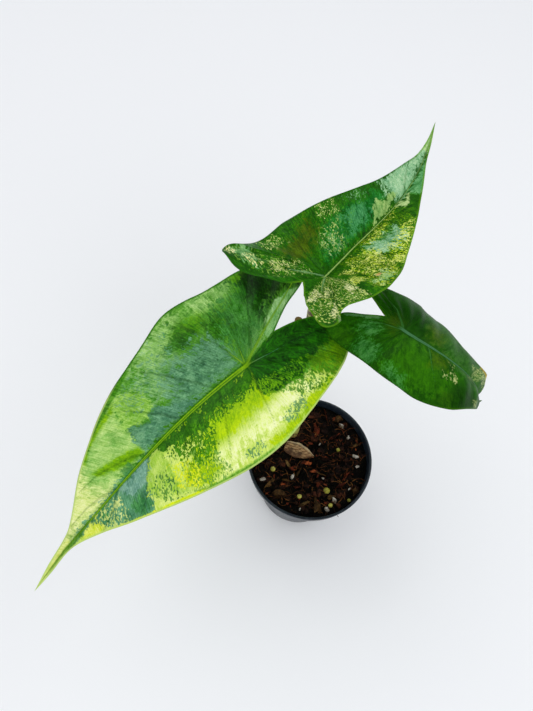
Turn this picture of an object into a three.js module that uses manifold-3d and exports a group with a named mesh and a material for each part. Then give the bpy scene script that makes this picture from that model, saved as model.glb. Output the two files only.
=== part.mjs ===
// Potted zebrina alocasia: three arrow-shaped leaves on banded stalks, in a small nursery pot.
// Millimetres, +Z up. The origin is the middle of the pot's underside, where the pot stands.
import * as THREE from "three";
import { mergeVertices } from "three/addons/utils/BufferGeometryUtils.js";
import Module from "manifold-3d";

const wasm = await Module();
wasm.setup();

const clearance = 0.3; // between pieces that touch

const pot = {
  height: 80,
  rimRadius: 44, // outside, at the very top
  stepHeight: 71, // where the wall steps out into the rim band
  shoulderRadius: 40.8, // outside of the wall just under the step
  baseRadius: 30,
  wall: 1.4,
  footWidth: 4,
  recess: 1.2, // how far the floor is raised between the foot and the middle
  middleRadius: 9,
  drainHoles: 6,
  drainRadius: 3.2,
  drainCircle: 18,
  sides: 56,
};

const mix = {
  level: 74, // mean height of the surface
  relief: 1.1,
  rings: 9,
  sides: 48,
  barkPieces: 26,
  barkSize: [7, 4, 3],
  grit: [
    // Pale grains that stand out on the surface: x, y, radius.
    [21, 30, 2.1], [31, 8, 2.6], [33, 2, 1.7], [-31, -20, 2.2], [-13, -18, 2],
    [8, -34.5, 1.8], [10, -26, 2.5], [-8, -30, 1.8], [16, -31, 2.4],
  ],
};

const corm = {
  place: [-17.8, 17.8],
  radius: 12.4,
  top: 73.6,
  bottom: 44,
  sides: 28,
  roots: 6,
  rootRadius: 1.9,
  rootReach: 20,
};

// Stalks: the route from the corm up to the blade, and the radius at each point of it.
const stalks = {
  front: {
    route: [
      [-21.5, 11.5, 67], [-21.5, 11.5, 76], [-25, 11, 112], [-34, 8, 160], [-45, 2, 200], [-50.6, -0.8, 212],
    ],
    radii: [4, 4, 3.6, 3, 2.6, 2.9],
  },
  top: {
    route: [
      [-16.5, 25.2, 67], [-16.5, 25.2, 76], [-16, 31, 120], [-18, 40, 170], [-20, 44.5, 205], [-19.6, 37.8, 246],
    ],
    radii: [3.7, 3.7, 3.4, 2.9, 2.6, 2.8],
  },
  right: {
    route: [
      [-14, 17.5, 67], [-14, 17.5, 76], [-10.5, 25.5, 120], [-5, 31.5, 165], [6, 33, 200], [25.6, 26.4, 226],
    ],
    radii: [3.5, 3.5, 3.2, 2.7, 2.4, 2.6],
  },
  old: {
    route: [[-24, 20.2, 67], [-24, 20.2, 76], [-25, 31, 120], [-27, 42, 165], [-26, 46, 188.5]],
    radii: [3, 3, 2.8, 2.6, 2.3],
  },
};
const stalkSides = 12;
const stalkSteps = 15;

// Leaves: along the midrib v runs from 0 at the stalk to the tip, and is negative in the two lobes.
// heading, pitch, roll, fold and curl are pairs of v and degrees (curl in degrees a millimetre).
// A station is the place on the midrib where a side vein leaves it, then the points where that
// vein meets the right and the left margin, as u (across) and v on the flattened leaf.
const leaves = {
  front: {
    junction: [-51, -1, 216],
    heading: [[-60, 226], [0, 226], [40, 231], [90, 235], [125, 233], [150, 240]],
    pitch: [[-60, 6], [0, -8], [60, -20], [160, -32]],
    roll: [[-60, 14], [0, 12], [150, 2]],
    fold: [[-60, 8], [160, 8]],
    curl: [[-60, 0.4], [160, 0.4]],
    wave: [1.2, 5, 0.4],
    stations: [
      [-23, 6, -23, 6, -23],
      [-16, 13.5, -36, 3.6, -38],
      [-10, 20, -52, -3, -54],
      [-6, 30, -62, -14, -62],
      [-3, 40, -52, -24, -51.5],
      [0, 42.5, -31, -31.5, -36.5],
      [4, 44, -8, -38.6, -14],
      [13, 48, 14, -42.7, 8],
      [28, 40.4, 36.8, -41.5, 34],
      [50, 33.4, 66.7, -33, 62],
      [78, 21, 94, -19.5, 92],
      [104, 8.5, 115.7, -8.8, 112],
      [126, 3.6, 129, -3.2, 127],
      [144, 1.5, 145, -1.9, 145],
      [160, 0, 160, 0, 160],
    ],
  },
  top: {
    junction: [-19, 38, 250],
    heading: [[-60, 64], [0, 64], [22, 62], [42, 56], [62, 57], [82, 66], [102, 76], [122, 80]],
    pitch: [[-60, -28], [0, -24], [60, 8], [130, 4]],
    roll: [[-60, 0], [0, 2], [130, -4]],
    fold: [[-60, 20], [130, 20]],
    curl: [[-60, 0.2], [130, 0.2]],
    wave: [0.9, 6, 1.3],
    stations: [
      [-17, -5, -17, -5, -17],
      [-12, -0.1, -23.5, -10.8, -28.5],
      [-8, 6.7, -34.4, -20.5, -39],
      [-5, 16.6, -43.5, -30.5, -45],
      [-3, 24, -42, -40.5, -41],
      [-1, 21, -28, -36.3, -28.7],
      [2, 25.3, -14, -33.3, -12],
      [9, 31.3, 7, -33.3, 8],
      [22, 30, 29, -30.5, 30],
      [40, 20.4, 56, -22.8, 54],
      [62, 10.2, 76.7, -15.4, 74],
      [82, 4.5, 92, -9.3, 91],
      [99, 2, 104, -3.8, 104.4],
      [116, 1, 117, -1.4, 117],
      [130, 0, 130, 0, 130],
    ],
  },
  right: {
    junction: [26, 26, 230],
    heading: [[-60, -27], [0, -27], [12, -17], [40, -11], [52, -16], [62, -19], [70, 0], [77, 35], [84, 35]],
    pitch: [[-60, 1], [0, -3], [45, -40], [58, -57], [66, -84], [72, -90], [77, -40], [84, 0]],
    roll: [[-60, 0], [0, 0], [34, 7], [60, 7], [84, 0]],
    fold: [[-60, -4], [20, -4], [60, 15], [84, 18]],
    curl: [[-60, 1.1], [60, 1.6], [84, 1.6]],
    wave: [0.7, 4, 2.2],
    stations: [
      [-12, -1, -12, -1, -12],
      [-8, 4.3, -21, -4.6, -19.2],
      [-5, 9.7, -30.3, -9, -27],
      [-3, 18, -35, -16, -28],
      [-1, 23.6, -31, -19, -24.5],
      [0, 25, -20, -22, -14],
      [3, 25, -7, -28, -4],
      [9, 26.3, 8, -30, 9],
      [20, 27.5, 23, -25.6, 23],
      [34, 24, 38, -17, 37.4],
      [48, 17.2, 51, -12.3, 51],
      [60, 9.2, 60, -11.5, 63],
      [69, 3.5, 69, -9, 71],
      [76, 1.8, 76, -1.8, 76],
      [84, 0, 84, 0, 84],
    ],
  },
};
const blade = {
  thickness: 0.8,
  ribDepth: 2.4, // the midrib's ridge on the underside, at the stalk
  ribWidth: 1.6,
  groove: 0.7, // the channel above the midrib
  quilt: 0.8, // how far the blade rises between two side veins
  rowsPerStation: 3,
  columns: [0, 0.045, 0.16, 0.4, 0.68, 0.88, 1],
};

const driedSheath = { from: [-15.5, 7.8], to: [3, 1.8], width: 11, arch: 3, thickness: 0.7, steps: 7 };

const colours = {
  pot: [0x353c46, 0.55],
  mix: [0x2b1c14, 0.95],
  corm: [0x6b4a30, 0.85],
  stalk: [0xa59a5c, 0.45],
  oldStalk: [0x8a5a2c, 0.7],
  front: [0x7fae3c, 0.32],
  top: [0x3c7a2c, 0.32],
  right: [0x1f5a1c, 0.3],
  driedSheath: [0x8f7a4e, 0.85],
};

// A small seeded random source, so that the surface comes out the same each time.
function randomSource(seed) {
  let state = seed;
  return () => {
    state = (state * 1664525 + 1013904223) % 4294967296;
    return state / 4294967296;
  };
}

function between(knots, at) {
  if (at <= knots[0][0]) return knots[0][1];
  for (let i = 1; i < knots.length; i++) {
    const [x0, y0] = knots[i - 1];
    const [x1, y1] = knots[i];
    if (at <= x1) return y0 + ((y1 - y0) * (at - x0)) / (x1 - x0);
  }
  return knots[knots.length - 1][1];
}

function geometryOf(points, triangles) {
  const geometry = new THREE.BufferGeometry();
  geometry.setAttribute("position", new THREE.Float32BufferAttribute(points.flat(), 3));
  geometry.setIndex(triangles.flat());
  return geometry;
}

function solidOf(geometry) {
  const bare = geometry.clone();
  bare.deleteAttribute("normal");
  bare.deleteAttribute("uv");
  const merged = mergeVertices(bare, 1e-4);
  return new wasm.Manifold(
    new wasm.Mesh({
      numProp: 3,
      vertProperties: merged.attributes.position.array,
      triVerts: new Uint32Array(merged.index.array),
    }),
  );
}

function geometryOfSolid(solid) {
  const mesh = solid.getMesh();
  const geometry = new THREE.BufferGeometry();
  geometry.setAttribute("position", new THREE.Float32BufferAttribute(mesh.vertProperties, 3));
  geometry.setIndex(Array.from(mesh.triVerts));
  return geometry;
}

function latheOf(profile, sides) {
  const geometry = new THREE.LatheGeometry(profile.map(([r, z]) => new THREE.Vector2(r, z)), sides);
  return geometry.rotateX(Math.PI / 2);
}

// A closed round stalk along a curve. The last ring may lie in the plane of two given vectors.
function tubeOf(route, radii, sides, steps, lastPlane) {
  const curve = new THREE.CatmullRomCurve3(route.map((p) => new THREE.Vector3(...p)), false, "centripetal");
  const frames = curve.computeFrenetFrames(steps, false);
  const radiusKnots = radii.map((r, i) => [i / (radii.length - 1), r]);
  const points = [];
  const triangles = [];
  for (let i = 0; i <= steps; i++) {
    const along = curve.getUtoTmapping(i / steps);
    const centre = curve.getPoint(along);
    const radius = between(radiusKnots, along);
    const flat = i === steps && lastPlane;
    const [across, up] = flat ? lastPlane : [frames.normals[i], frames.binormals[i]];
    const turn = flat ? Math.atan2(frames.normals[i].dot(up), frames.normals[i].dot(across)) : 0;
    for (let k = 0; k < sides; k++) {
      const angle = (k / sides) * 2 * Math.PI + turn;
      const p = centre.clone();
      p.addScaledVector(across, radius * Math.cos(angle));
      p.addScaledVector(up, radius * Math.sin(angle));
      points.push(p.toArray());
    }
  }
  for (let i = 0; i < steps; i++) {
    for (let k = 0; k < sides; k++) {
      const a = i * sides + k;
      const b = i * sides + ((k + 1) % sides);
      triangles.push([a, b, b + sides], [a, b + sides, a + sides]);
    }
  }
  const last = steps * sides;
  for (let k = 1; k < sides - 1; k++) {
    triangles.push([0, k + 1, k], [last, last + k, last + k + 1]);
  }
  return geometryOf(points, triangles);
}

function potGeometry() {
  const { height, rimRadius, stepHeight, shoulderRadius, baseRadius, wall, footWidth, recess } = pot;
  const floorTop = recess + wall;
  const bandInner = rimRadius - 0.6 - wall;
  const profile = [
    [0, 0],
    [pot.middleRadius, 0],
    [pot.middleRadius + recess, recess],
    [baseRadius - footWidth - recess, recess],
    [baseRadius - footWidth, 0],
    [baseRadius - 0.6, 0],
    [baseRadius, 0.6],
    [shoulderRadius, stepHeight - 1],
    [rimRadius - 0.8, stepHeight + 0.4],
    [rimRadius, height - 0.5],
    [rimRadius - 0.4, height],
    [rimRadius - wall, height],
    [rimRadius - wall - 0.4, height - 0.6],
    [bandInner, stepHeight + wall],
    [shoulderRadius - wall, stepHeight],
    [baseRadius - wall + 0.3, floorTop],
    [0, floorTop],
  ];
  let solid = solidOf(latheOf(profile, pot.sides));
  for (let i = 0; i < pot.drainHoles; i++) {
    const angle = (i / pot.drainHoles) * 2 * Math.PI;
    const hole = new THREE.CylinderGeometry(pot.drainRadius, pot.drainRadius, 10, 12);
    hole.rotateX(Math.PI / 2);
    hole.translate(pot.drainCircle * Math.cos(angle), pot.drainCircle * Math.sin(angle), 2);
    solid = solid.subtract(solidOf(hole));
  }
  return geometryOfSolid(solid);
}

// The corm with its roots; grow swells it, which makes the hole that it stands in.
function cormSolid(grow) {
  const { place, radius, top, bottom, sides } = corm;
  const open = grow > 0 ? pot.height : top;
  const profile = [
    [0, bottom - grow],
    [radius * 0.35 + grow, bottom + 3 - grow],
    [radius * 0.75 + grow, bottom + 12],
    [radius * 0.93 + grow, bottom + 20],
    [radius + grow, top - 3],
    [radius * (grow > 0 ? 1 : 0.97) + grow, open - 0.8],
    [radius * (grow > 0 ? 1 : 0.9) + grow, open],
    [0, open],
  ];
  let solid = solidOf(latheOf(profile, sides).translate(place[0], place[1], 0));
  for (let i = 0; i < corm.roots; i++) {
    const angle = (i / corm.roots) * 2 * Math.PI + 0.4;
    const reach = (share) => [
      place[0] * (1 - share) + Math.cos(angle) * (radius * 0.6 + corm.rootReach * share),
      place[1] * (1 - share) + Math.sin(angle) * (radius * 0.6 + corm.rootReach * share),
    ];
    const route = [
      [...reach(0), bottom + 14],
      [...reach(0.4), bottom + 9 - 3 * (i % 2)],
      [...reach(0.8), bottom - 8],
      [...reach(0.65 - grow * 0.01), bottom - 24 - grow],
    ];
    const r = corm.rootRadius;
    solid = solid.add(solidOf(tubeOf(route, [r + grow, r + grow, r * 0.8 + grow, r * 0.5 + grow], 6, 9)));
  }
  return solid;
}

function cormGeometry() {
  let solid = cormSolid(0);
  for (const { route, radii } of Object.values(stalks)) {
    const foot = route[0];
    const depth = foot[2] - clearance;
    const socket = new THREE.CylinderGeometry(radii[0] + clearance, radii[0] + clearance, 20, 16);
    socket.rotateX(Math.PI / 2).translate(foot[0], foot[1], depth + 10);
    solid = solid.subtract(solidOf(socket));
  }
  return geometryOfSolid(solid);
}

// Height of the mix: hollows and rises from a few crossing waves, level where the sheath lies.
function mixHeight(x, y) {
  const bumps =
    Math.sin(x * 0.42 + 1.3) * Math.cos(y * 0.38 - 0.4) +
    0.7 * Math.sin(x * 0.21 - y * 0.48 + 2.1) +
    0.4 * Math.cos(x * 0.6 + y * 0.3);
  const [mx, my] = driedSheath.from.map((c, i) => (c + driedSheath.to[i]) / 2);
  const calm = THREE.MathUtils.smoothstep(Math.hypot(x - mx, y - my), 11, 18);
  return mix.level + mix.relief * 0.5 * bumps * calm;
}

function mixGeometry() {
  const { rings, sides, level } = mix;
  const inside = (z) => {
    const slope = (pot.shoulderRadius - pot.baseRadius) / (pot.stepHeight - pot.recess - pot.wall);
    return pot.shoulderRadius - pot.wall - (pot.stepHeight - z) * slope - 2 * clearance;
  };
  const floor = pot.recess + pot.wall + clearance;
  const rim = pot.rimRadius - 0.6 - pot.wall - 1.5 * clearance;
  const side = [[rim, level - 0.9], [inside(pot.stepHeight), pot.stepHeight + 0.5], [inside(floor) - 0.4, floor]];
  const points = [[0, 0, mixHeight(0, 0)]];
  const triangles = [];
  for (let i = 1; i < rings + side.length; i++) {
    for (let k = 0; k < sides; k++) {
      const angle = ((k + (i % 2) * 0.5 * (i < rings)) / sides) * 2 * Math.PI;
      const [r, z] = i < rings ? [(rim * i) / rings] : side[i - rings];
      const [x, y] = [r * Math.cos(angle), r * Math.sin(angle)];
      points.push([x, y, z ?? mixHeight(x, y)]);
    }
  }
  points.push([0, 0, floor]);
  const ringStart = (i) => 1 + (i - 1) * sides;
  const last = points.length - 1;
  for (let k = 0; k < sides; k++) {
    const next = (k + 1) % sides;
    triangles.push([0, ringStart(1) + k, ringStart(1) + next]);
    for (let i = 1; i < rings + side.length - 1; i++) {
      const [a, b] = [ringStart(i) + k, ringStart(i) + next];
      const [c, d] = [ringStart(i + 1) + k, ringStart(i + 1) + next];
      triangles.push([a, c, d], [a, d, b]);
    }
    triangles.push([last, last - sides + next, last - sides + k]);
  }
  let solid = solidOf(geometryOf(points, triangles));

  const random = randomSource(7);
  const onSheath = (x, y) => Math.hypot(x + 5.5, y - 5.5) < 15;
  let placed = 0;
  while (placed < mix.barkPieces) {
    const angle = random() * 2 * Math.PI;
    const r = Math.sqrt(random()) * (rim - 7);
    const [x, y] = [r * Math.cos(angle), r * Math.sin(angle)];
    const size = mix.barkSize.map((s) => s * (0.6 + 0.7 * random()));
    const turn = [random() * 0.7 - 0.35, random() * 0.7 - 0.35, random() * Math.PI];
    const nearCorm = Math.hypot(x - corm.place[0], y - corm.place[1]) < corm.radius + 7;
    if (onSheath(x, y) || nearCorm) continue;
    const bark = new THREE.BoxGeometry(...size);
    bark.rotateX(turn[0]).rotateY(turn[1]).rotateZ(turn[2]);
    solid = solid.add(solidOf(bark.translate(x, y, mixHeight(x, y))));
    placed++;
  }
  for (const [x, y, radius] of mix.grit) {
    const grain = new THREE.IcosahedronGeometry(radius, 0).rotateZ(x);
    solid = solid.add(solidOf(grain.translate(x, y, mixHeight(x, y))));
  }
  return geometryOfSolid(solid.subtract(cormSolid(clearance)));
}

// The midrib as a curve in space, with a frame of side, forward and up vectors at each millimetre.
function midribOf(leaf) {
  const first = -80;
  const length = leaf.stations[leaf.stations.length - 1][0];
  const place = [];
  for (let v = first; v <= length + 1; v++) {
    const [heading, pitch, roll] = ["heading", "pitch", "roll"].map((name) =>
      THREE.MathUtils.degToRad(between(leaf[name], v)),
    );
    const forward = new THREE.Vector3(
      Math.cos(pitch) * Math.cos(heading),
      Math.cos(pitch) * Math.sin(heading),
      Math.sin(pitch),
    );
    const level = new THREE.Vector3(Math.sin(heading), -Math.cos(heading), 0);
    const side = level.clone().multiplyScalar(Math.cos(roll));
    side.addScaledVector(new THREE.Vector3().crossVectors(level, forward), Math.sin(roll));
    place.push({ forward, side, up: new THREE.Vector3().crossVectors(side, forward) });
  }
  place[-first].point = new THREE.Vector3(...leaf.junction);
  const step = (from, to, sign) => {
    const mean = from.forward.clone().add(to.forward).multiplyScalar(0.5 * sign);
    to.point = from.point.clone().add(mean);
  };
  for (let i = -first; i < place.length - 1; i++) step(place[i], place[i + 1], 1);
  for (let i = -first; i > 0; i--) step(place[i], place[i - 1], -1);
  return (v) => {
    const at = THREE.MathUtils.clamp(v - first, 0, place.length - 1.001);
    const [a, b, share] = [place[Math.floor(at)], place[Math.floor(at) + 1], at % 1];
    const mixOf = (name) => a[name].clone().lerp(b[name], share);
    return { point: mixOf("point"), side: mixOf("side"), up: mixOf("up"), forward: mixOf("forward") };
  };
}

// Margin points between the stations lie on a smooth curve through them.
function stationAt(stations, s) {
  const i = Math.min(Math.floor(s), stations.length - 2);
  const pick = (k) => stations[THREE.MathUtils.clamp(k, 0, stations.length - 1)];
  const t = s - i;
  return stations[0].map((_, c) => {
    const [a, b, d, e] = [pick(i - 1)[c], pick(i)[c], pick(i + 1)[c], pick(i + 2)[c]];
    return 0.5 * (2 * b + (d - a) * t + (2 * a - 5 * b + 4 * d - e) * t * t + (3 * b - a - 3 * d + e) * t * t * t);
  });
}

function bladeGeometry(leaf) {
  const { thickness, ribDepth, ribWidth, groove, quilt, rowsPerStation, columns } = blade;
  const midrib = midribOf(leaf);
  const { stations, wave } = leaf;
  const length = stations[stations.length - 1][0];
  const [, sinusU, sinusV] = stations[0];
  const rows = (stations.length - 1) * rowsPerStation;
  const points = [];

  const addPair = (s, t, sign) => {
    const [root, rightU, rightV, leftU, leftV] = stationAt(stations, s);
    const [edgeU, edgeV] = sign > 0 ? [rightU, rightV] : [leftU, leftV];
    const keel = root < 0 ? (sinusU * root) / sinusV : 0;
    const u = keel + (edgeU - keel) * t;
    const v = root + (edgeV - root) * t ** 1.25;
    const { point, side, up } = midrib(v);
    const fold = between(leaf.fold, v);
    const curl = between(leaf.curl, v);
    const lean = THREE.MathUtils.degToRad(fold - (curl * Math.abs(u)) / 2);
    const slope = THREE.MathUtils.degToRad(fold - curl * Math.abs(u)) * (t > 0 ? Math.sign(u) : 0);
    const end = Math.min(1, 6 * (s / (stations.length - 1)), 6 * (1 - s / (stations.length - 1)));
    const out = Math.abs(edgeU - keel) * t;
    const channel = Math.exp(-((out / ribWidth) ** 2));
    const raised =
      quilt * end * (0.5 - 0.5 * Math.cos(2 * Math.PI * s)) * Math.sin(Math.PI * t) +
      wave[0] * end * t ** 3 * Math.sin(wave[1] * s * 0.5 + wave[2] + (sign > 0 ? 0 : 2)) -
      groove * end * channel;
    const normal = up.clone().multiplyScalar(Math.cos(slope)).addScaledVector(side, -Math.sin(slope));
    const top = point.clone();
    top.addScaledVector(side, u * Math.cos(lean)).addScaledVector(up, Math.abs(u) * Math.sin(lean));
    top.addScaledVector(normal, raised);
    const taper = THREE.MathUtils.clamp(1 - v / length, 0, 1) * end;
    const pad = Math.exp(-((u * u + v * v) / 16));
    const depth = thickness + ribDepth * Math.max(channel * taper, pad);
    points.push(top.toArray(), top.clone().addScaledVector(normal, -depth).toArray());
    return points.length - 2;
  };

  const grid = [];
  for (let i = 0; i <= rows; i++) {
    const s = i / rowsPerStation;
    if (i === 0 || i === rows) {
      const tip = addPair(s, 0, 1);
      grid.push(new Array(columns.length * 2 - 1).fill(tip));
      continue;
    }
    const left = columns.slice(1).map((t) => addPair(s, t, -1)).reverse();
    grid.push([...left, ...columns.map((t) => addPair(s, t, 1))]);
  }

  const triangles = [];
  const addFace = (a, b, c) => {
    if (a === b || b === c || c === a) return;
    triangles.push([a, b, c], [a + 1, c + 1, b + 1]);
  };
  const addRim = (a, b) => {
    if (a !== b) triangles.push([a, a + 1, b + 1], [a, b + 1, b]);
  };
  const width = grid[0].length;
  for (let i = 0; i < rows; i++) {
    for (let j = 0; j < width - 1; j++) {
      const [a, b, c, d] = [grid[i][j], grid[i][j + 1], grid[i + 1][j + 1], grid[i + 1][j]];
      if (j < (width - 1) / 2) {
        addFace(a, b, d);
        addFace(b, c, d);
      } else {
        addFace(a, b, c);
        addFace(a, c, d);
      }
    }
    addRim(grid[i][width - 1], grid[i + 1][width - 1]);
    addRim(grid[i + 1][0], grid[i][0]);
  }
  return geometryOf(points, triangles);
}

function stalkGeometry(name) {
  const { route, radii } = stalks[name];
  if (!leaves[name]) return tubeOf(route, radii, stalkSides, stalkSteps);
  const { point, side, forward, up } = midribOf(leaves[name])(0);
  const under = blade.thickness + blade.ribDepth + blade.groove + clearance;
  const top = point.addScaledVector(up, -under).toArray();
  return tubeOf([...route.slice(0, -1), top], radii, stalkSides, stalkSteps, [side, forward]);
}

// A dried leaf sheath: a thin arched strip that narrows to a point at its far end.
function driedSheathGeometry() {
  const { from, to, width, arch, thickness, steps } = driedSheath;
  const start = new THREE.Vector2(...from);
  const along = new THREE.Vector2(...to).sub(start);
  const across = new THREE.Vector2(-along.y, along.x).normalize();
  const columns = [-1, -0.6, 0, 0.6, 1];
  const points = [];
  const triangles = [];
  for (let i = 0; i <= steps; i++) {
    const share = i / steps;
    const half = (width / 2) * Math.sin(Math.PI * (0.25 + 0.7 * share)) ** 0.8;
    for (const c of columns) {
      const p = start.clone().addScaledVector(along, share).addScaledVector(across, c * half);
      const z = mix.level + clearance + arch * (1 - c * c) * (1 - 0.6 * share);
      points.push([p.x, p.y, z], [p.x, p.y, z + thickness]);
    }
  }
  const at = (i, j) => 2 * (i * columns.length + j);
  const addQuad = (a, b, c, d) => triangles.push([a, b, c], [a, c, d]);
  for (let i = 0; i < steps; i++) {
    for (let j = 0; j < columns.length - 1; j++) {
      const [a, b, c, d] = [at(i, j), at(i + 1, j), at(i + 1, j + 1), at(i, j + 1)];
      addQuad(a + 1, b + 1, c + 1, d + 1);
      addQuad(a, d, c, b);
    }
    addQuad(at(i, 0), at(i + 1, 0), at(i + 1, 0) + 1, at(i, 0) + 1);
    const j = columns.length - 1;
    addQuad(at(i + 1, j), at(i, j), at(i, j) + 1, at(i + 1, j) + 1);
  }
  for (let j = 0; j < columns.length - 1; j++) {
    addQuad(at(0, j + 1), at(0, j), at(0, j) + 1, at(0, j + 1) + 1);
    addQuad(at(steps, j), at(steps, j + 1), at(steps, j + 1) + 1, at(steps, j) + 1);
  }
  return geometryOf(points, triangles);
}

function pieceOf(name, geometry, [color, roughness]) {
  geometry.computeVertexNormals();
  const mesh = new THREE.Mesh(geometry, new THREE.MeshStandardMaterial({ color, roughness, metalness: 0 }));
  mesh.name = name;
  return mesh;
}

const plant = new THREE.Group();
plant.add(
  pieceOf("corm", cormGeometry(), colours.corm),
  pieceOf("petiole_front", stalkGeometry("front"), colours.stalk),
  pieceOf("petiole_top", stalkGeometry("top"), colours.stalk),
  pieceOf("petiole_right", stalkGeometry("right"), colours.stalk),
  pieceOf("old_stalk", stalkGeometry("old"), colours.oldStalk),
  pieceOf("blade_front", bladeGeometry(leaves.front), colours.front),
  pieceOf("blade_top", bladeGeometry(leaves.top), colours.top),
  pieceOf("blade_right", bladeGeometry(leaves.right), colours.right),
);

const pottedPlant = new THREE.Group();
pottedPlant.add(
  pieceOf("pot", potGeometry(), colours.pot),
  pieceOf("potting_mix", mixGeometry(), colours.mix),
  pieceOf("dry_sheath", driedSheathGeometry(), colours.driedSheath),
  plant,
);

export default pottedPlant;
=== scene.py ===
# Potted zebra alocasia, variegated: three painted leaves on banded stalks in a small black nursery pot.
import math
import random

import bmesh
import bpy
import numpy as np
from mathutils import Matrix, Vector, noise


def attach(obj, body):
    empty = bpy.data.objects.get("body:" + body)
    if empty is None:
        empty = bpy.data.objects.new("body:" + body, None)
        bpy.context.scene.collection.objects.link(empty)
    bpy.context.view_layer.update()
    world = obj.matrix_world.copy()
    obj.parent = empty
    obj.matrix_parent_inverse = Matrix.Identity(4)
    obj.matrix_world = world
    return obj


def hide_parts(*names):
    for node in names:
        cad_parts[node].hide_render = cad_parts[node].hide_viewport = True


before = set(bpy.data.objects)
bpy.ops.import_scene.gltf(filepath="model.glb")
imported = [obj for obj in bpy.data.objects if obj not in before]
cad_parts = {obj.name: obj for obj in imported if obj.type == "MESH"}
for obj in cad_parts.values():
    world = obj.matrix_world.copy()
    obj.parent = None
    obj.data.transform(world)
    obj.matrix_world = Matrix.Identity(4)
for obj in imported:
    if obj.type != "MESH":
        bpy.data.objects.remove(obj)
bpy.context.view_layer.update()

mm = 0.001
mergeDistance = 1e-6
print("frame loaded:", len(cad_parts), "solids")


def paint(code):
    # "#659673" as the eye sees it, to the linear colour that the shader wants
    parts = [int(code[i:i + 2], 16) / 255 for i in (1, 3, 5)]
    return tuple(p / 12.92 if p <= 0.04045 else ((p + 0.055) / 1.055) ** 2.4 for p in parts) + (1.0,)


def smoothBetween(low, high, x):
    t = np.clip((x - low) / (high - low), 0, 1)
    return t * t * (3 - 2 * t)


def stand(name, data):
    thing = bpy.data.objects.new(name, data)
    bpy.context.scene.collection.objects.link(thing)
    return thing


def setSmooth(mesh, smooth=True):
    mesh.polygons.foreach_set("use_smooth", [smooth] * len(mesh.polygons))


def meshFrom(work, name):
    mesh = bpy.data.meshes.new(name)
    work.to_mesh(mesh)
    work.free()
    return mesh


def meshPiece(name, points, faces, materials, faceMaterial=None):
    # points in millimetres
    mesh = bpy.data.meshes.new(name)
    mesh.from_pydata([tuple(p) for p in np.asarray(points) * mm], [], faces)
    for material in materials:
        mesh.materials.append(material)
    if faceMaterial is not None:
        mesh.polygons.foreach_set("material_index", faceMaterial)
    setSmooth(mesh)
    mesh.update()
    return stand(name, mesh)


def closeUp(piece):
    # doubles merged, every face turned outwards
    work = bmesh.new()
    work.from_mesh(piece.data)
    bmesh.ops.remove_doubles(work, verts=work.verts, dist=mergeDistance)
    bmesh.ops.recalc_face_normals(work, faces=work.faces)
    work.to_mesh(piece.data)
    work.free()
    return piece


def finishPiece(piece, slotName, *nodes):
    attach(piece, "root")
    if nodes:
        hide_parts(*nodes)


def storeNumbers(piece, name, values):
    values = np.asarray(values, dtype=np.float32)
    kind, field = ("FLOAT", "value") if values.ndim == 1 else ("FLOAT_VECTOR", "vector")
    piece.data.attributes.new(name, kind, "POINT").data.foreach_set(field, values.ravel())


def bakePiece(piece):
    # what the modifiers make becomes a plain mesh, and they go
    bpy.context.view_layer.update()
    seen = bpy.context.evaluated_depsgraph_get()
    mesh = bpy.data.meshes.new_from_object(piece.evaluated_get(seen), preserve_all_data_layers=True, depsgraph=seen)
    name = piece.name
    bpy.data.objects.remove(piece)
    mesh.name = name
    return stand(name, mesh)


def growTree(piece, tree, given):
    # the tree's inputs are set by their identifiers
    grown = piece.modifiers.new(tree.name, "NODES")
    grown.node_group = tree
    for socket in tree.interface.items_tree:
        if socket.name in given:
            grown[socket.identifier] = given[socket.name]
    return bakePiece(piece)


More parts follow.
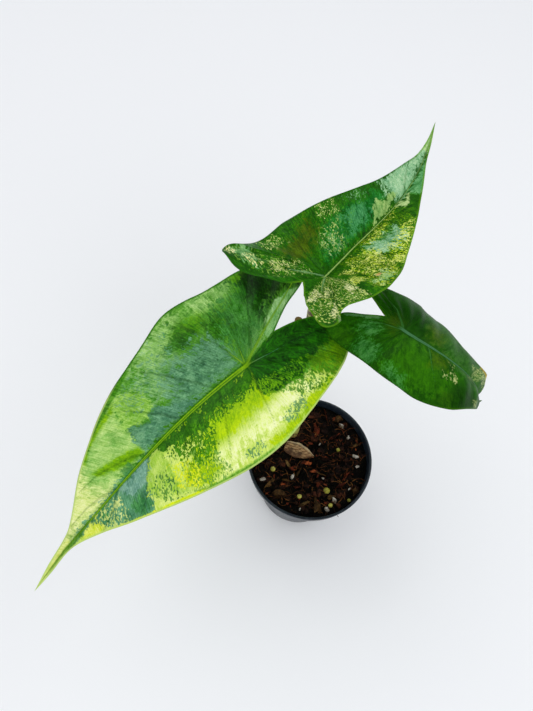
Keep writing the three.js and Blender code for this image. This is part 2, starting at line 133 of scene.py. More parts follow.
class NodeDesk:
    # one node tree while it is being wired
    def __init__(self, tree):
        self.tree = tree

    def feed(self, socket, value):
        # a link, a colour code or a plain value
        if isinstance(value, bpy.types.NodeSocket):
            self.tree.links.new(value, socket)
        else:
            socket.default_value = paint(value) if str(value).startswith("#") else value

    def feedAll(self, sockets, given):
        for key, value in given.items():
            self.feed(sockets[key], value)

    def add(self, kind, given=None, **settings):
        node = self.tree.nodes.new(kind)
        for key, value in settings.items():
            setattr(node, key, value)
        self.feedAll(node.inputs, given or {})
        return node

    def maths(self, operation, *values):
        given = dict(enumerate((*values, 0.0, 0.0)[:3]))
        return self.add("ShaderNodeMath", given, operation=operation).outputs[0]

    def times(self, a, b):
        return self.maths("MULTIPLY", a, b)

    def timesPlus(self, a, b, c):
        return self.maths("MULTIPLY_ADD", a, b, c)

    def centred(self, value):
        return self.maths("SUBTRACT", value, 0.5)

    def vectors(self, operation, a, b):
        given = {0: a, "Scale" if operation == "SCALE" else 1: b}
        return self.add("ShaderNodeVectorMath", given, operation=operation).outputs[0]

    def axis(self, vector, number):
        return self.add("ShaderNodeSeparateXYZ", {0: vector}).outputs[number]

    def blend(self, factor, under, over, mode="MIX"):
        given = {0: factor, 6: under, 7: over}
        return self.add("ShaderNodeMix", given, data_type="RGBA", blend_type=mode).outputs[2]

    def ease(self, value, low, high, first=0.0, last=1.0):
        given = {"Value": value, "From Min": low, "From Max": high, "To Min": first, "To Max": last}
        return self.add("ShaderNodeMapRange", given, interpolation_type="SMOOTHSTEP").outputs["Result"]

    def noise(self, vector, scale=1.0, detail=2.0, roughness=0.5, outlet="Fac"):
        given = {"Vector": vector, "Scale": scale, "Detail": detail, "Roughness": roughness}
        return self.add("ShaderNodeTexNoise", given).outputs[outlet]

    def cells(self, vector, scale):
        # a random number for each cell
        colour = self.add("ShaderNodeTexVoronoi", {"Vector": vector, "Scale": scale}).outputs["Color"]
        return self.add("ShaderNodeSeparateColor", {0: colour}).outputs[0]

    def stretch(self, vector, scale, shift=(0, 0, 0)):
        return self.add("ShaderNodeMapping", {"Vector": vector, "Scale": scale, "Location": shift}).outputs[0]

    def read(self, name, outlet="Fac"):
        return self.add("ShaderNodeAttribute", attribute_name=name).outputs[outlet]

    def objectPlace(self):
        return self.add("ShaderNodeTexCoord").outputs["Object"]

    def bump(self, height, distance):
        # the distance in millimetres
        given = {"Height": height, "Strength": 1.0, "Distance": distance * mm}
        return self.add("ShaderNodeBump", given).outputs[0]

    def place(self, group, given):
        return self.add("ShaderNodeGroup", given, node_tree=group).outputs


def startGroup(name, takes, gives, kind="ShaderNodeTree"):
    # sockets are plain numbers unless a kind follows their name
    tree = bpy.data.node_groups.new(name, kind)
    for direction, sockets in (("INPUT", takes), ("OUTPUT", gives)):
        for socket in sockets.split():
            label, _, sort = socket.partition(":")
            tree.interface.new_socket(name=label, in_out=direction, socket_type="NodeSocket" + (sort or "Float"))
    desk = NodeDesk(tree)
    return desk, desk.add("NodeGroupInput").outputs, desk.add("NodeGroupOutput").inputs


def startMaterial(name, **fixed):
    # fixed holds the values that are the same all over; they sit on the shader's own sockets
    material = bpy.data.materials.new(name)
    material.use_nodes = True
    shader = material.node_tree.nodes["Principled BSDF"].inputs
    for key, value in fixed.items():
        shader[key].default_value = value
    return material, NodeDesk(material.node_tree), shader


# Each blade is drawn flat, u across the midrib and v along it from the leaf stalk, in millimetres, and then bent along
# its midrib. A station is where a rib leaves the midrib and where it meets the right and the left margin. Heading,
# pitch, roll, fold and curl are degrees at places along v. Pale ribs: which rib, how wide and how far.
frontLeaf = {
    "relief": 1.15,
    "channel": 0.7,
    "paleRibs": [(0, 0.8, 1.2), (4, 0.6, 0.3), (3, 0.5, 0.25), (9, 0.3, 0.5)],
    "junction": (-51, -1, 216),
    "length": 160,
    "heading": [(-60, 226), (0, 226), (40, 231), (90, 235), (125, 233), (150, 240)],
    "pitch": [(-60, 6), (0, -8), (60, -20), (160, -32)],
    "roll": [(-60, 14), (0, 12), (150, 2)],
    "fold": [(0, 8)],
    "curl": [(0, 0.4)],
    "wave": (1.2, 5, 0.4),
    "stations": [
        (-23, 6, -23, 6, -23), (-16, 13.5, -36, 3.6, -38), (-10, 20, -52, -3, -54), (-6, 30, -62, -14, -62),
        (-3, 40, -52, -24, -51.5), (0, 42.5, -31, -31.5, -36.5), (4, 44, -8, -38.6, -14), (13, 48, 14, -42.7, 8),
        (28, 40.4, 36.8, -41.5, 34), (50, 33.4, 66.7, -33, 62), (78, 21, 94, -19.5, 92),
        (104, 8.5, 115.7, -8.8, 112), (126, 3.6, 129, -3.2, 127), (144, 1.5, 145, -1.9, 145), (160, 0, 160, 0, 160)],
    "ribs": [
        [(0, 0), (4, -8), (10, -20), (18, -38), (26, -54), (29, -60)], [(3, -6), (20, -16), (32, -24), (41, -32)],
        [(9, -18), (22, -32), (36, -46)], [(0, 0), (18, -5), (32, -8), (43, -8)], [(0, 0), (14, 4), (30, 10), (46, 16)],
        [(0, 19), (3, 21), (12, 27), (28, 38), (38, 46)], [(0, 42), (10, 48.5), (22, 58), (31, 68)],
        [(0, 66), (5, 73), (9, 83), (12, 92), (13, 104)], [(0, 90), (3, 98), (5, 108), (5, 120)],
        [(0, 0), (-2, -12), (-3.5, -26), (-7, -42), (-13, -58)], [(-2, -10), (-14, -17), (-33, -28)],
        [(-3, -24), (-14, -36), (-26, -47)], [(0, 0), (-14, 2), (-30, 6), (-42, 12)],
        [(0, 18), (-14, 25), (-30, 36), (-38, 44)], [(0, 42), (-12, 50), (-24, 61), (-30, 70)],
        [(0, 66), (-2, 68), (-8, 75), (-15, 82), (-19, 92)], [(0, 90), (-6, 98), (-9, 110)]],
}
topLeaf = {
    "relief": 0.8,
    "channel": 0.42,
    "paleRibs": [(0, 0.5, 0.8), (8, 0.5, 0.7), (9, 0.25, 0.8), (12, 0.25, 0.5)],
    "junction": (-19, 38, 250),
    "length": 130,
    "heading": [(-60, 64), (0, 64), (22, 62), (42, 56), (62, 57), (82, 66), (102, 76), (122, 80)],
    "pitch": [(-60, -28), (0, -24), (60, 8), (130, 4)],
    "roll": [(-60, 0), (0, 2), (130, -4)],
    "fold": [(0, 20)],
    "curl": [(0, 0.2)],
    "wave": (0.9, 6, 1.3),
    "stations": [
        (-17, -5, -17, -5, -17), (-12, -0.1, -23.5, -10.8, -28.5), (-8, 6.7, -34.4, -20.5, -39),
        (-5, 16.6, -43.5, -30.5, -45), (-3.3, 23.6, -43, -38.2, -44), (-2, 23.6, -36, -40.3, -37),
        (-1, 21, -28, -36.3, -28.7),
        (2, 25.3, -14, -33.3, -12), (9, 31.3, 7, -33.3, 8), (22, 30, 29, -30.5, 30), (40, 20.4, 56, -22.8, 54),
        (62, 10.2, 76.7, -15.4, 74), (82, 4.5, 92, -9.3, 91), (99, 2, 104, -3.8, 104.4), (116, 1, 117, -1.4, 117),
        (130, 0, 130, 0, 130)],
    "ribs": [
        [(0, 0), (5, -15), (12, -30), (18, -41)], [(5, -14), (14, -20), (22, -27)], [(0, 0), (14, -3), (27, -6)],
        [(0, 3), (14, 10), (30, 20)], [(0, 20), (12, 29), (26, 42)], [(0, 38), (9, 48), (18, 60)],
        [(0, 55), (5, 64), (10, 76)], [(0, 72), (3, 82), (5, 92)],
        [(0, 0), (-10, -13), (-22, -28), (-35, -42)], [(-8, -10), (-22, -15), (-35, -23)], [(0, 0), (-16, 1), (-33, 4)],
        [(0, 6), (-14, 14), (-31, 26)], [(0, 22), (-12, 31), (-26, 46)], [(0, 40), (-9, 50), (-20, 64)],
        [(0, 58), (-6, 67), (-13, 80)], [(0, 76), (-5, 86), (-8, 96)]],
}
rightLeaf = {
    "relief": 0.2,
    "channel": 0.3,
    "paleRibs": [(6, 0.7, 0.75), (0, 0.35, 0.8), (3, 0.5, 0.9)],
    "junction": (26, 26, 230),
    "length": 84,
    "heading": [
        (-60, -27), (0, -27), (12, -17), (40, -11), (52, -16), (62, -21), (68, -16), (74, 8), (78, 35), (84, 35)],
    "pitch": [(-60, 1), (0, -3), (45, -40), (58, -57), (66, -84), (72, -90), (77, -40), (84, 0)],
    "roll": [(-60, 0), (0, 0), (34, 7), (60, 7), (84, 0)],
    "fold": [(-60, -4), (20, -4), (60, 15), (84, 18)],
    "curl": [(-60, 1.1), (60, 1.6), (84, 1.6)],
    "wave": (0.7, 4, 2.2),
    "stations": [
        (-12, -1, -12, -1, -12), (-8, 4.3, -21, -4.6, -19.2), (-5, 9.7, -30.3, -9, -27), (-3, 18, -35, -16, -28),
        (-1, 23.6, -31, -19, -24.5), (0, 25, -20, -22, -14), (3, 25, -7, -28, -4), (9, 26.3, 8, -30, 9),
        (20, 27.5, 23, -25.6, 23), (34, 24, 38, -17, 37.4), (48, 17.2, 51, -12.6, 51), (60, 11, 61, -12.4, 62),
        (69, 5, 69, -12, 69.5), (76, 1.6, 76, -3.6, 75.5), (84, 0, 84, 0, 84)],
    "ribs": [
        [(0, 0), (4, -12), (10, -24), (17, -33)], [(0, 0), (12, -4), (24, -9)], [(0, 0.5), (12, 7), (26, 15)],
        [(0, 14.5), (8, 20), (19, 28), (26, 33)], [(0, 28), (8, 35), (19, 45)], [(0, 42), (6, 49), (12, 57)],
        [(0, 0), (-9, -9), (-14, -18), (-17, -26)], [(0, 0), (-14, 1), (-29, 4)], [(0, 8), (-12, 14), (-27, 22)],
        [(0, 22), (-10, 30), (-18, 38)], [(0, 36), (-7, 44), (-13, 54)], [(0, 50), (-5, 57), (-10, 66)]],
}
bladeFinish = {
    "firstPlace": -80,      # where the midrib's frames start
    "rowStep": 1.15,
    "columns": 38,
    "crowding": 1.15,       # columns lie closer together near the midrib
    "sweep": 1.25,          # ribs leave the midrib slowly and then bend away
    "thickness": 0.42,      # at the margin
    "thinRim": 1.6,
    "keelDepth": 2.4,       # how far the midrib stands out below
    "channelWidth": 1.6,
    "padWidth": 4,          # the pad that the stalk ends in
    "ribWidth": 0.9,
    "ribGroove": 0.24,      # side ribs, sunk above
    "ribRidge": 0.4,        # and raised below
    "pillow": 0.32,         # the blade swells between the side ribs
    "pillowReach": 3.2,
    "ripple": 0.22,
    "swell": 0.8,
}


def catmull(knots, s):
    last = len(knots) - 1
    cell = np.clip(np.floor(s).astype(int), 0, last - 1)
    f = (s - cell)[:, None]
    a, b, c, d = (knots[np.clip(cell + k, 0, last)] for k in (-1, 0, 1, 2))
    return 0.5 * (2 * b + (c - a) * f + (2 * a - 5 * b + 4 * c - d) * f ** 2 + (3 * b - a - 3 * c + d) * f ** 3)


def knotValue(knots, at):
    return np.interp(at, [k[0] for k in knots], [k[1] for k in knots])


def midribFrames(leaf):
    # point, side, up and forward at each millimetre of the midrib, as part.mjs lays it
    first = bladeFinish["firstPlace"]
    v = np.arange(first, leaf["length"] + 2, dtype=float)
    heading, pitch, roll = (np.radians(knotValue(leaf[k], v)) for k in ("heading", "pitch", "roll"))
    forward = np.stack([np.cos(pitch) * np.cos(heading), np.cos(pitch) * np.sin(heading), np.sin(pitch)], 1)
    level = np.stack([np.sin(heading), -np.cos(heading), 0 * v], 1)
    side = level * np.cos(roll)[:, None] + np.cross(level, forward) * np.sin(roll)[:, None]
    up = np.cross(side, forward)
    means = (forward[:-1] + forward[1:]) / 2
    path = np.vstack([np.zeros(3), np.cumsum(means, 0)])
    path += np.array(leaf["junction"]) - path[-first]
    return {"point": path, "side": side, "up": up}


def frameAt(frames, v, *names):
    at = np.clip(v - bladeFinish["firstPlace"], 0, len(frames["point"]) - 1.001)
    low = np.floor(at).astype(int)
    share = (at - low)[..., None]
    return [frames[n][low] * (1 - share) + frames[n][low + 1] * share for n in names]


def distanceTo(line, u, v):
    # distance to a drawn line, and how far along it that place is
    best = np.full(u.shape, 1e9)
    place = np.zeros(u.shape)
    run = 0.0
    for (x0, y0), (x1, y1) in zip(line[:-1], line[1:]):
        dx, dy = x1 - x0, y1 - y0
        size = math.hypot(dx, dy)
        if size < 1e-6:
            continue
        t = np.clip(((u - x0) * dx + (v - y0) * dy) / size ** 2, 0, 1)
        d = np.hypot(u - x0 - t * dx, v - y0 - t * dy)
        place = np.where(d < best, run + t * size, place)
        best = np.minimum(best, d)
        run += size
    return best, place, run


def patchDistance(outline, u, v):
    # distance to the outline of a patch, positive inside
    best = distanceTo(list(outline) + [outline[0]], u, v)[0]
    inside = np.zeros(u.shape, dtype=bool)
    for (x0, y0), (x1, y1) in zip(outline, list(outline[1:]) + [outline[0]]):
        if y0 != y1:
            crosses = (y0 > v) != (y1 > v)
            inside ^= crosses & (u < (x1 - x0) * (v - y0) / (y1 - y0) + x0)
    return np.where(inside, best, -best)


def bladeMesh(name, leaf, patches, materials):
    finish = bladeFinish
    stations = np.array(leaf["stations"], dtype=float)
    frames = midribFrames(leaf)
    last = len(stations) - 1
    sinusU, sinusV = stations[0, 1], stations[0, 2]
    rows = [0.0]
    for i in range(last):
        inner = catmull(stations, np.linspace(i, i + 1, 13))
        reach = max(np.hypot(*np.diff(inner[:, c], axis=0).T).sum() for c in ([1, 2], [3, 4]))
        count = max(6, math.ceil(reach / finish["rowStep"]))
        rows += [i + (k + 1) / count for k in range(count)]
    s = np.array(rows)
    across = np.linspace(0, 1, finish["columns"] + 1) ** finish["crowding"]
    t = np.concatenate([across[:0:-1], across])[None, :]
    right = np.arange(t.shape[1])[None, :] >= finish["columns"]
    lined = catmull(stations, s)
    root = lined[:, 0:1]
    edgeU = np.where(right, lined[:, 1:2], lined[:, 3:4])
    edgeV = np.where(right, lined[:, 2:3], lined[:, 4:5])
    keel = np.where(root < 0, sinusU * root / sinusV, 0)
    u = keel + (edgeU - keel) * t
    v = root + (edgeV - root) * t ** finish["sweep"]
    margin = list(lined[::4, 3:5]) + list(lined[::4, 1:3])[::-1]
    toMargin = distanceTo(margin + [margin[0]], u, v)[0]
    out = distanceTo([(sinusU, sinusV), (0, 0), (0, leaf["length"])], u, v)[0]
    share = s[:, None] / last
    end = np.minimum(1, np.minimum(6 * share, 6 * (1 - share)))

    ribs = [distanceTo(line, u, v) for line in leaf["ribs"]]
    ribDistance = np.full(u.shape, 1e9)
    groove = np.zeros(u.shape)
    for near, place, run in ribs:
        strength = np.clip(1.15 - place / run, 0.15, 1)
        groove = np.maximum(groove, strength * np.exp(-(near / finish["ribWidth"]) ** 2))
        ribDistance = np.minimum(ribDistance, near / (0.35 + 0.65 * strength))
    pillow = finish["pillow"] * (1 - np.exp(-(np.minimum(ribDistance, out) / finish["pillowReach"]) ** 2))
    pillow = pillow * smoothBetween(0, 5, toMargin)
    ripple = np.sin(0.31 * v + 0.5 * np.abs(u)) * np.sin(0.23 * u - 0.11 * v + 1.7)
    ripple = ripple * smoothBetween(2, 12, out) * finish["ripple"]
    wave = leaf["wave"]
    raised = wave[0] * end * t ** 3 * np.sin(wave[1] * s[:, None] * 0.5 + wave[2] + np.where(right, 0, 2))
    raised = raised + finish["swell"] * end * (0.5 - 0.5 * np.cos(2 * np.pi * s[:, None])) * np.sin(np.pi * t)
    channel = np.exp(-(out / finish["channelWidth"]) ** 2)
    relief = pillow + ripple - finish["ribGroove"] * groove
    raised = raised + end * (leaf["relief"] * relief - leaf["channel"] * channel)

    point, side, up = frameAt(frames, v, "point", "side", "up")
    fold, curl = knotValue(leaf["fold"], v), knotValue(leaf["curl"], v)
    lean = np.radians(fold - curl * np.abs(u) / 2)[..., None]
    slope = (np.radians(fold - curl * np.abs(u)) * np.where(t > 0, np.sign(u), 0))[..., None]
    normal = up * np.cos(slope) - side * np.sin(slope)
    top = point + side * u[..., None] * np.cos(lean) + up * np.abs(u)[..., None] * np.sin(lean)
    top = top + normal * raised[..., None]
    taper = np.clip(1 - v / leaf["length"], 0, 1) * end
    pad = np.exp(-(u * u + v * v) / finish["padWidth"] ** 2)
    rim = 0.45 + 0.55 * smoothBetween(0, finish["thinRim"], toMargin)
    depth = finish["thickness"] * rim + finish["keelDepth"] * np.maximum(channel * taper, pad)
    depth = depth + finish["ribRidge"] * groove * end * (0.3 + 0.7 * rim)
    under = top - normal * depth[..., None]

    high, wide = u.shape
    points, index = [], np.zeros((2, high, wide), dtype=int)
    for layer, grid in enumerate((top, under)):
        for i in range(high):
            if i in (0, high - 1):
                index[layer, i, :] = len(points)
                points.append(grid[i, wide // 2])
            else:
                index[layer, i, :] = np.arange(len(points), len(points) + wide)
                points.extend(grid[i])
    faces, faceMaterial = [], []

    def addFace(corners, slotNumber):
        kept = list(dict.fromkeys(int(c) for c in corners))
        if len(kept) > 2:
            faces.append(kept)
            faceMaterial.append(slotNumber)

    for i in range(high - 1):
        for j in range(wide - 1):
            quad = (i, j), (i, j + 1), (i + 1, j + 1), (i + 1, j)
            addFace([index[0][q] for q in quad], 0)
            addFace([index[1][q] for q in reversed(quad)], 1)
        for j in (0, wide - 1):
            a, b = (i, j), (i + 1, j)
            a, b = (a, b) if j else (b, a)
            addFace([index[0][a], index[1][a], index[1][b], index[0][b]], 0)
    blade = meshPiece(name, points, faces, materials, faceMaterial)

    def perPoint(values):
        values = np.broadcast_to(values, u.shape)
        flat = np.zeros(len(points), dtype=np.float32)
        for layer in (0, 1):
            flat[index[layer]] = values
        return flat

    # streaks run along the side ribs: outwards from the stalk in the lobes, forwards along the rest
    lobe = v < 0.5 * np.abs(u)
    angle = np.arctan2(v, np.abs(u) + 1e-6) - math.atan(0.5)
    crossways = np.where(lobe, angle * (20 + 0.22 * np.hypot(u, v)), (v - 0.5 * np.abs(u)) * 0.9)
    outwards = np.where(lobe, np.hypot(u, v), np.abs(u) * 1.118 + 0.15 * (v - 0.5 * np.abs(u)))
    streak = np.stack([perPoint(crossways), perPoint(outwards), perPoint(np.where(right, 3.0, -3.0))], 1)
    storeNumbers(blade, "streak", streak)
    storeNumbers(blade, "flat", np.stack([perPoint(u), perPoint(v), perPoint(0 * u)], 1))
    storeNumbers(blade, "ribDistance", perPoint(ribDistance))
    pale = [distanceTo(leaf["ribs"][number], u, v) + (width, reach) for number, width, reach in leaf["paleRibs"]]
    lines = [near / (width * np.clip(1 - place / (run * reach), 0.05, 1)) for near, place, run, width, reach in pale]
    storeNumbers(blade, "paleRib", perPoint(np.min(lines, axis=0)))
    storeNumbers(blade, "midribDistance", perPoint(u - keel))
    storeNumbers(blade, "marginDistance", perPoint(toMargin))
    for patch, outlines in patches.items():
        storeNumbers(blade, patch, perPoint(np.max([patchDistance(o, u, v) for o in outlines], axis=0)))
    return closeUp(blade)


# Patches of one colour run on each leaf, painted in this order and drawn as outlines on the flat leaf. The edge of a
# wash wanders by so many millimetres. Specks have a density and thin out over a soft border.
def wash(name, low, high, ragged, edge, strength, *outlines):
    look = {"Ragged": ragged, "Edge": edge, "Strength": strength}
    return {"name": name, "colours": (low, high), "look": look, "outlines": outlines}


def specks(name, low, high, density, soft, edge, strength, *outlines, clump=0.6, shuffle=1.0):
    look = {"Density": density, "Soft": soft, "Edge": edge, "Strength": strength, "Clump": clump, "Shuffle": shuffle}
    return {"name": name, "colours": (low, high), "look": look, "outlines": outlines}


frontBase = ("#4a8630", "#7cb05a")
frontPatches = [
    wash("paleHalf", "#8dbb66", "#b2d286", 6, 2.4, 0.95,
        [(1, 66), (10, 62), (28, 62), (36, 60), (30, 80), (22, 96), (10, 116), (1, 118)]),
    wash("rightTip", "#d2e290", "#eaf0b0", 4, 6, 1,
        [(0, 92), (8, 99), (22, 96), (14, 116), (6, 140), (2, 165), (-1, 165), (-1, 136), (0.4, 120)]),
    wash("greyHalf", "#609454", "#93ba82", 9, 3, 0.85, [(12, 50), (34, 44), (40, 30), (36, 20), (20, 22), (12, 34)],
        [(3, -3), (26, -3), (26, -28), (14, -28), (6, -14)]),
    wash("limeMiddle", "#7bad48", "#a2ca72", 4, 0.9, 0.9,
        [(12, 64), (12, 52), (17, 46), (27, 48), (31, 56), (30, 63), (20, 66)]),
    # painted sheen: a pale haze of reflected light near the right margin
    wash("marginHaze", "#7fae5c", "#a2c884", 6, 4, 0.8,
        [(37, 44), (44, 32), (46, 14), (40, 12), (34, 18), (29, 30), (31, 42)],
        [(36, 4), (44, 4), (43, -20), (36, -16)]),
    wash("greenMargin", "#437f18", "#68a023", 5, 2.5, 0.9,
        [(27, -2), (36, 4), (39, 14), (36, 20), (30, 18), (27, 10)], [(34, -18), (43, -20), (42, -34), (36, -30)]),
    wash("darkMottle", "#1f5210", "#3a7426", 9, 2.6, 0.95,
        [(17, 12), (24, 12), (33, 5), (38, 16), (31, 26), (25, 22)], [(12, 5), (22, 8), (32, 6), (32, -8), (18, -6)]),
    wash("blueInner", "#3b694c", "#6b9a7c", 9, 3.4, 0.9,
        [(1, 2), (1, 44), (12, 44), (14, 37), (24, 35), (27, 28), (22, 22), (25, 17), (26, 9), (18, 3), (10, 1)]),
    wash("blueSector", "#3f6f54", "#66947a", 2.6, 0.45, 0.93, [(1, 24), (1, 62), (3, 67), (8, 67), (11, 65),
         (15, 65), (15, 61), (12, 58), (11, 53), (14, 52), (14, 46), (8, 40)]),
    wash("blueEdge", "#2f6440", "#477a50", 1.4, 0.5, 0.6, [(10, 65.5), (15.4, 65.4), (15.4, 61), (12.4, 57.6),
         (11.4, 53), (14.4, 52.6), (14, 45.6), (12.6, 46), (12.8, 51), (9.8, 52.4), (11, 58), (13.6, 61.6),
         (13.8, 64)]),
    specks("blueDots", "#4d8254", "#5f8f74", 0.4, 12, 0.16, 0.7,
        [(14, 60), (26, 60), (34, 52), (38, 36), (40, 20), (30, 30), (18, 42)], clump=1.0),
    wash("rightLobe", "#245f14", "#4a8646", 9, 2.4, 0.9,
        [(3, -2), (18, 0), (30, -4), (38, -20), (42, -34), (30, -40), (16, -26), (7, -10)]),
    # painted shadow cast by the top leaf over the right lobe
    wash("lobeShade", "#051f02", "#133c07", 8, 4, 0.95,
        [(17, -22), (24, -22), (38, -22), (46, -28), (44, -50), (40, -66), (20, -66), (16, -50), (21, -40)]),
    wash("paleStrip", "#86bc74", "#acd49c", 1.2, 0.7, 0.95,
        [(5, -18), (8, -17), (14, -24), (19, -33), (20, -42), (18.5, -50), (12, -36), (6, -24)]),
    wash("deepLime", "#639a10", "#7fb024", 1.4, 1.3, 0.95,
        [(2, 67), (6, 67), (8, 72), (12, 84), (15, 94), (11, 92), (6, 83), (3, 76)],
        [(19, 91), (23, 86), (26, 76), (28, 64), (31, 62), (29, 74), (27, 86), (22, 93)]),
    wash("darkEdge", "#2f6d1c", "#4a8228", 0.8, 0.6, 0.9,
        [(28, 82), (31.5, 72), (36, 60), (38, 48), (37, 44), (33, 56), (30, 68), (27, 80)]),
    wash("yellowHalf", "#c3dc6e", "#dcea96", 3, 1.2, 1,
        [(-1, 2), (-1, 170), (-60, 170), (-60, -70), (-15, -70), (-20, -40), (-22, -20), (-21, -6), (-12, 3)]),
    wash("creamRun", "#e3f19a", "#f3fac4", 6, 4, 1,
        [(-21, 10), (-22, -4), (-23, -18), (-29, -28), (-31, -6), (-33, 6), (-35, 14), (-30, 22), (-26, 20)],
        [(-24, 20), (-32, 28), (-36, 40), (-28, 42), (-22, 36)]),
    wash("limeRun", "#88b806", "#b4d41c", 5, 5, 1,
        [(-6, 8), (-10, -2), (-20, -5), (-22, 3), (-22.5, 14), (-23, 24), (-24, 35), (-18, 41), (-9, 40), (-8, 20)]),
    wash("yellowEdge", "#80b010", "#b4d028", 4, 1.8, 1,
        [(-38.5, 18), (-37, 4), (-35, -8), (-32, -20), (-29, -34), (-34, -34), (-40, -14), (-42, 4), (-41, 18)],
        [(-16, 48), (-20, 60), (-27, 62), (-33, 54), (-31, 44), (-25, 46), (-22, 38), (-17, 38)]),
    wash("leftPaleEdge", "#8cbc5c", "#a9cf74", 0.9, 0.9, 0.9,
        [(-40, 30), (-41.5, 10), (-40, -6), (-46, -6), (-47, 20), (-44, 34), (-38, 50), (-36, 60), (-34, 56)]),
    wash("leftLine", "#447f22", "#6a9f3c", 0.8, 0.5, 0.85,
        [(-42.2, 16), (-41.0, 34), (-37.4, 50), (-31.6, 63), (-30.4, 62), (-36, 49), (-39.6, 33), (-41, 16)]),
    specks("creamFleck", "#7fa84a", "#5d8f4a", 0.42, 6, 0.06, 0.9,
        [(-22, 40), (-36, 38), (-36, 52), (-31, 62), (-24, 66), (-16, 58), (-12, 46)], shuffle=3.0),
    wash("limeSquare", "#9cc352", "#b9d478", 3.2, 0.45, 0.95, [(-1.5, 68), (-10, 79), (-16, 80), (-22, 76),
         (-25, 70), (-29, 64), (-20, 62), (-8, 61), (-6, 55), (-1.5, 58)]),
    specks("squareFleck", "#4c8058", "#39722f", 0.38, 5, 0.06, 0.85,
        [(-10, 80), (-26, 76), (-29, 64), (-20, 58), (-12, 66)], [(-6, 62), (-14, 62), (-12, 52), (-4, 52)],
        clump=0.4),
    specks("squareYellow", "#c8dc34", "#e0e860", 0.45, 6, 0.06, 0.9,
        [(-12, 64), (-24, 68), (-30, 60), (-26, 50), (-14, 54)], clump=0.4),
    wash("limeGround", "#76a80e", "#9cc828", 5, 2, 1,
        [(0, -3), (-10, -4), (-13, 6), (-13, 30), (-12, 44), (-9, 54), (0, 60)]),
    wash("featherBand", "#1c5204", "#367210", 8, 0.6, 1, [(0, 0), (-8, -1), (-12, 5), (-11, 14), (-10, 24),
         (-10, 32), (-13, 36), (-11, 42), (-9, 52), (-6, 60), (0, 63)]),
    specks("featherLoose", "#2a640c", "#4c8824", 0.62, 8, 0.07, 0.95,
        [(-6, 30), (-14, 32), (-22, 38), (-26, 46), (-18, 56), (-7, 58)],
        [(-7, 4), (-14, 8), (-14, 26), (-12, 34), (-7, 30)], clump=0.8, shuffle=5.0),
    wash("darkLobe", "#0f3c04", "#236a0c", 1.8, 0.7, 1, [(1, -1), (-8, 1), (-13, 3), (-17, 2), (-21, -5),
         (-20.5, -12), (-22, -20), (-18, -28), (-16, -40), (-17, -52), (-20, -66), (6, -66), (6, -44), (6, -22),
         (3, -10)]),
    specks("lobeMottle", "#2c6a18", "#5f9434", 0.5, 5, 0.1, 0.9,
        [(-13, -10), (-20, -8), (-23, -18), (-21, -30), (-14, -30), (-12, -20)], clump=0.3),
    specks("lobeGreen", "#3f7d1c", "#78ac2c", 0.55, 4, 0.12, 0.9, [(-9, 4), (-20, 0), (-20, -12), (-12, -10)],
        clump=0.3),
    wash("oliveEnd", "#5e8c14", "#3f7414", 6, 2.2, 0.95,
        [(-16, -30), (-22, -26), (-31, -34), (-34, -50), (-24, -66), (-14, -66), (-16, -44)]),
    specks("endMottle", "#35701c", "#5a9434", 0.5, 5, 0.08, 0.9,
        [(-21, -6), (-24, -10), (-31, -14), (-34, -34), (-30, -46), (-20, -40)], clump=0.4),
    specks("marginMottle", "#4c8048", "#749f74", 0.55, 5, 0.08, 0.9,
        [(-33, 4), (-30, -4), (-30, -16), (-36, -14), (-38, -2)],
        [(-33, 20), (-38, 18), (-40, 26), (-37, 32), (-33, 28)]),
    wash("upperBlue", "#4f8460", "#6a9a7c", 3.4, 0.5, 1, [(1, 66), (-3, 68), (-8, 75), (-14, 79), (-19, 80),
         (-24, 84), (-22, 90), (-17, 98), (-12, 105), (-8, 109), (-4, 118), (-3.4, 126), (0, 132)]),
    wash("upperDark", "#35713c", "#47824c", 5, 1, 0.85, [(-13, 80), (-20, 82), (-20, 90), (-14, 92), (-11, 86)],
        [(-2, 100), (-8, 104), (-8, 108), (-1, 106)], [(3, 82), (5, 80), (4, 75), (0, 76), (0, 83)]),
    wash("bluePane", "#6d9686", "#83a99c", 1.6, 0.5, 0.9,
        [(-1, 68), (-4, 70), (-9, 76), (-9, 84), (-8, 88), (-1, 89)]),
    specks("upperFleck", "#9aba68", "#ccd990", 0.42, 6, 0.06, 0.92,
        [(-1, 92), (-8, 92), (-17, 95), (-20, 100), (-12, 110), (-3, 120), (-1, 112)], clump=0.4),
    wash("leftTip", "#c8d84c", "#dbe47c", 3, 0.7, 0.95,
        [(-1, 107), (-8, 108), (-10, 111), (-7, 116), (-3.6, 124), (-3, 116)]),
    wash("yellowMargin", "#c2da1a", "#dbe63c", 0.7, 0.5, 1,
        [(-33, 58), (-27, 72), (-20.5, 88), (-12.5, 104), (-7, 115), (-4.5, 122), (-12, 122), (-40, 72)]),
    wash("tipRun", "#cbd86a", "#e6ec9e", 1.2, 1, 0.9,
        [(-0.4, 128), (2, 126), (2, 168), (-3, 168), (-3, 150), (-0.6, 144)]),
    wash("tipGreen", "#4c7f2a", "#6c9a3c", 0.8, 0.4, 0.85,
        [(0.2, 110), (-2, 118), (-3.4, 132), (-2.6, 146), (-1.2, 152), (-0.4, 142), (0, 130)]),
]
topBase = ("#1c5208", "#316f1c")
